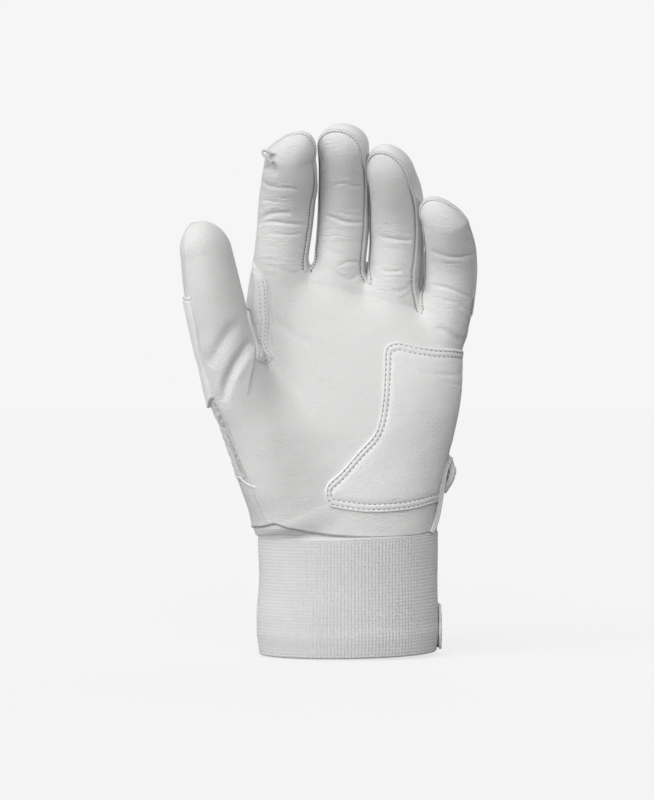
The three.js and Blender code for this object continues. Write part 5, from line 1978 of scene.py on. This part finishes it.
rings = [cuff_ring(z, out) for z, out in LINING_ROWS]
for z in np.arange(52.8, 63.0, 0.5):
    loops_of_knit = 0.06 * np.sin(2 * math.pi * z) + 0.03 * np.sin(lining_angles * 90)
    rings.append(lining_ring(z, 0.65 + np.clip((56 - z) / 3.2, 0, 1) - loops_of_knit))
rings += [lining_ring(z, 2.0) for z in (62.5, 58.0, 53.0)]
rings.append(cuff_ring(48, LINING_INSIDE))
rings = np.stack(rings)
m, n = rings.shape[:2]
i, j = np.meshgrid(np.arange(m), np.arange(n), indexing="ij")
above, onward = (i + 1) % m, (j + 1) % n
quads = np.stack([i * n + j, i * n + onward, above * n + onward, above * n + j], -1).reshape(-1, 4)
lining = (rings.reshape(-1, 3), quads)
add_piece("wrist_lining_knit", lining, lining_knit, "glove_body", "lining_knit", "wrist_lining")

# Camera, light and floor
camera = bpy.data.objects.new("camera", bpy.data.cameras.new("camera"))
camera.location = tuple((EYE + CENTRE) * MM)
camera.rotation_euler = (math.radians(90), 0, 0)
camera.data.sensor_fit, camera.data.sensor_width = "HORIZONTAL", 36.0
camera.data.lens = 36.0 * FOCAL / PICTURE_WIDTH
camera.data.clip_start, camera.data.clip_end = 0.05, 50
bpy.context.scene.collection.objects.link(camera)
bpy.context.scene.camera = camera

# Large soft lamps: above and in front, from the left, level from the front, and from behind;
# their strength, breadth in degrees and direction. The camera sees a plain backdrop, and a floor of
# the same colour with the object's shadow on it.
LAMPS = [
    (1.5, 70, (-0.25, -0.76, 0.58)),
    (1.3, 45, (-0.85, -0.45, 0.25)),
    (0.82, 45, (0, -1, 0.15)),
    (0.9, 80, (0.25, 0.75, 0.6)),
]
ROOM_LEVEL, BACKDROP, FLOOR_COLOUR, FLOOR_GLOW = 0.28, 0.9216, 0.2, 0.735
for number, (energy, breadth, toward) in enumerate(LAMPS):
    lamp = bpy.data.objects.new(f"soft_lamp_{number}", bpy.data.lights.new(f"soft_lamp_{number}", "SUN"))
    lamp.data.energy, lamp.data.angle = energy, math.radians(breadth)
    lamp.rotation_euler = tuple(Vector(toward).to_track_quat("Z", "Y").to_euler())
    bpy.context.scene.collection.objects.link(lamp)

world = bpy.data.worlds.new("studio")
bpy.context.scene.world = world
world.use_nodes = True
tree = world.node_tree
tree.nodes.clear()
path, out = tree.nodes.new("ShaderNodeLightPath"), tree.nodes.new("ShaderNodeOutputWorld")
room, shown = tree.nodes.new("ShaderNodeBackground"), tree.nodes.new("ShaderNodeBackground")
room.inputs["Color"].default_value, room.inputs["Strength"].default_value = (1, 1, 1, 1), ROOM_LEVEL
shown.inputs["Color"].default_value = (BACKDROP, BACKDROP, BACKDROP, 1)
mix = tree.nodes.new("ShaderNodeMixShader")
tree.links.new(path.outputs["Is Camera Ray"], mix.inputs["Fac"])
tree.links.new(room.outputs[0], mix.inputs[1])
tree.links.new(shown.outputs[0], mix.inputs[2])
tree.links.new(mix.outputs[0], out.inputs["Surface"])

floor_mesh = bpy.data.meshes.new("floor")
floor_mesh.from_pydata([(-30, -30, 0), (30, -30, 0), (30, 30, 0), (-30, 30, 0)], [], [(0, 1, 2, 3)])
floor = bpy.data.objects.new("floor", floor_mesh)
floor.location.z = -0.0005
bpy.context.scene.collection.objects.link(floor)
paper = bpy.data.materials.new("paper")
paper.use_nodes = True
tree = paper.node_tree
tree.nodes.clear()
path, diffuse, glow, add, out = [tree.nodes.new(f"ShaderNode{kind}") for kind in
                                 ("LightPath", "BsdfDiffuse", "Emission", "AddShader", "OutputMaterial")]
diffuse.inputs["Color"].default_value = (FLOOR_COLOUR,) * 3 + (1,)
seen_glow = combined(tree, "MULTIPLY", path.outputs["Is Camera Ray"], FLOOR_GLOW)
tree.links.new(seen_glow, glow.inputs["Strength"])
tree.links.new(diffuse.outputs[0], add.inputs[0])
tree.links.new(glow.outputs[0], add.inputs[1])
tree.links.new(add.outputs[0], out.inputs["Surface"])
floor.data.materials.append(paper)

bpy.context.scene.view_settings.view_transform = "Standard"
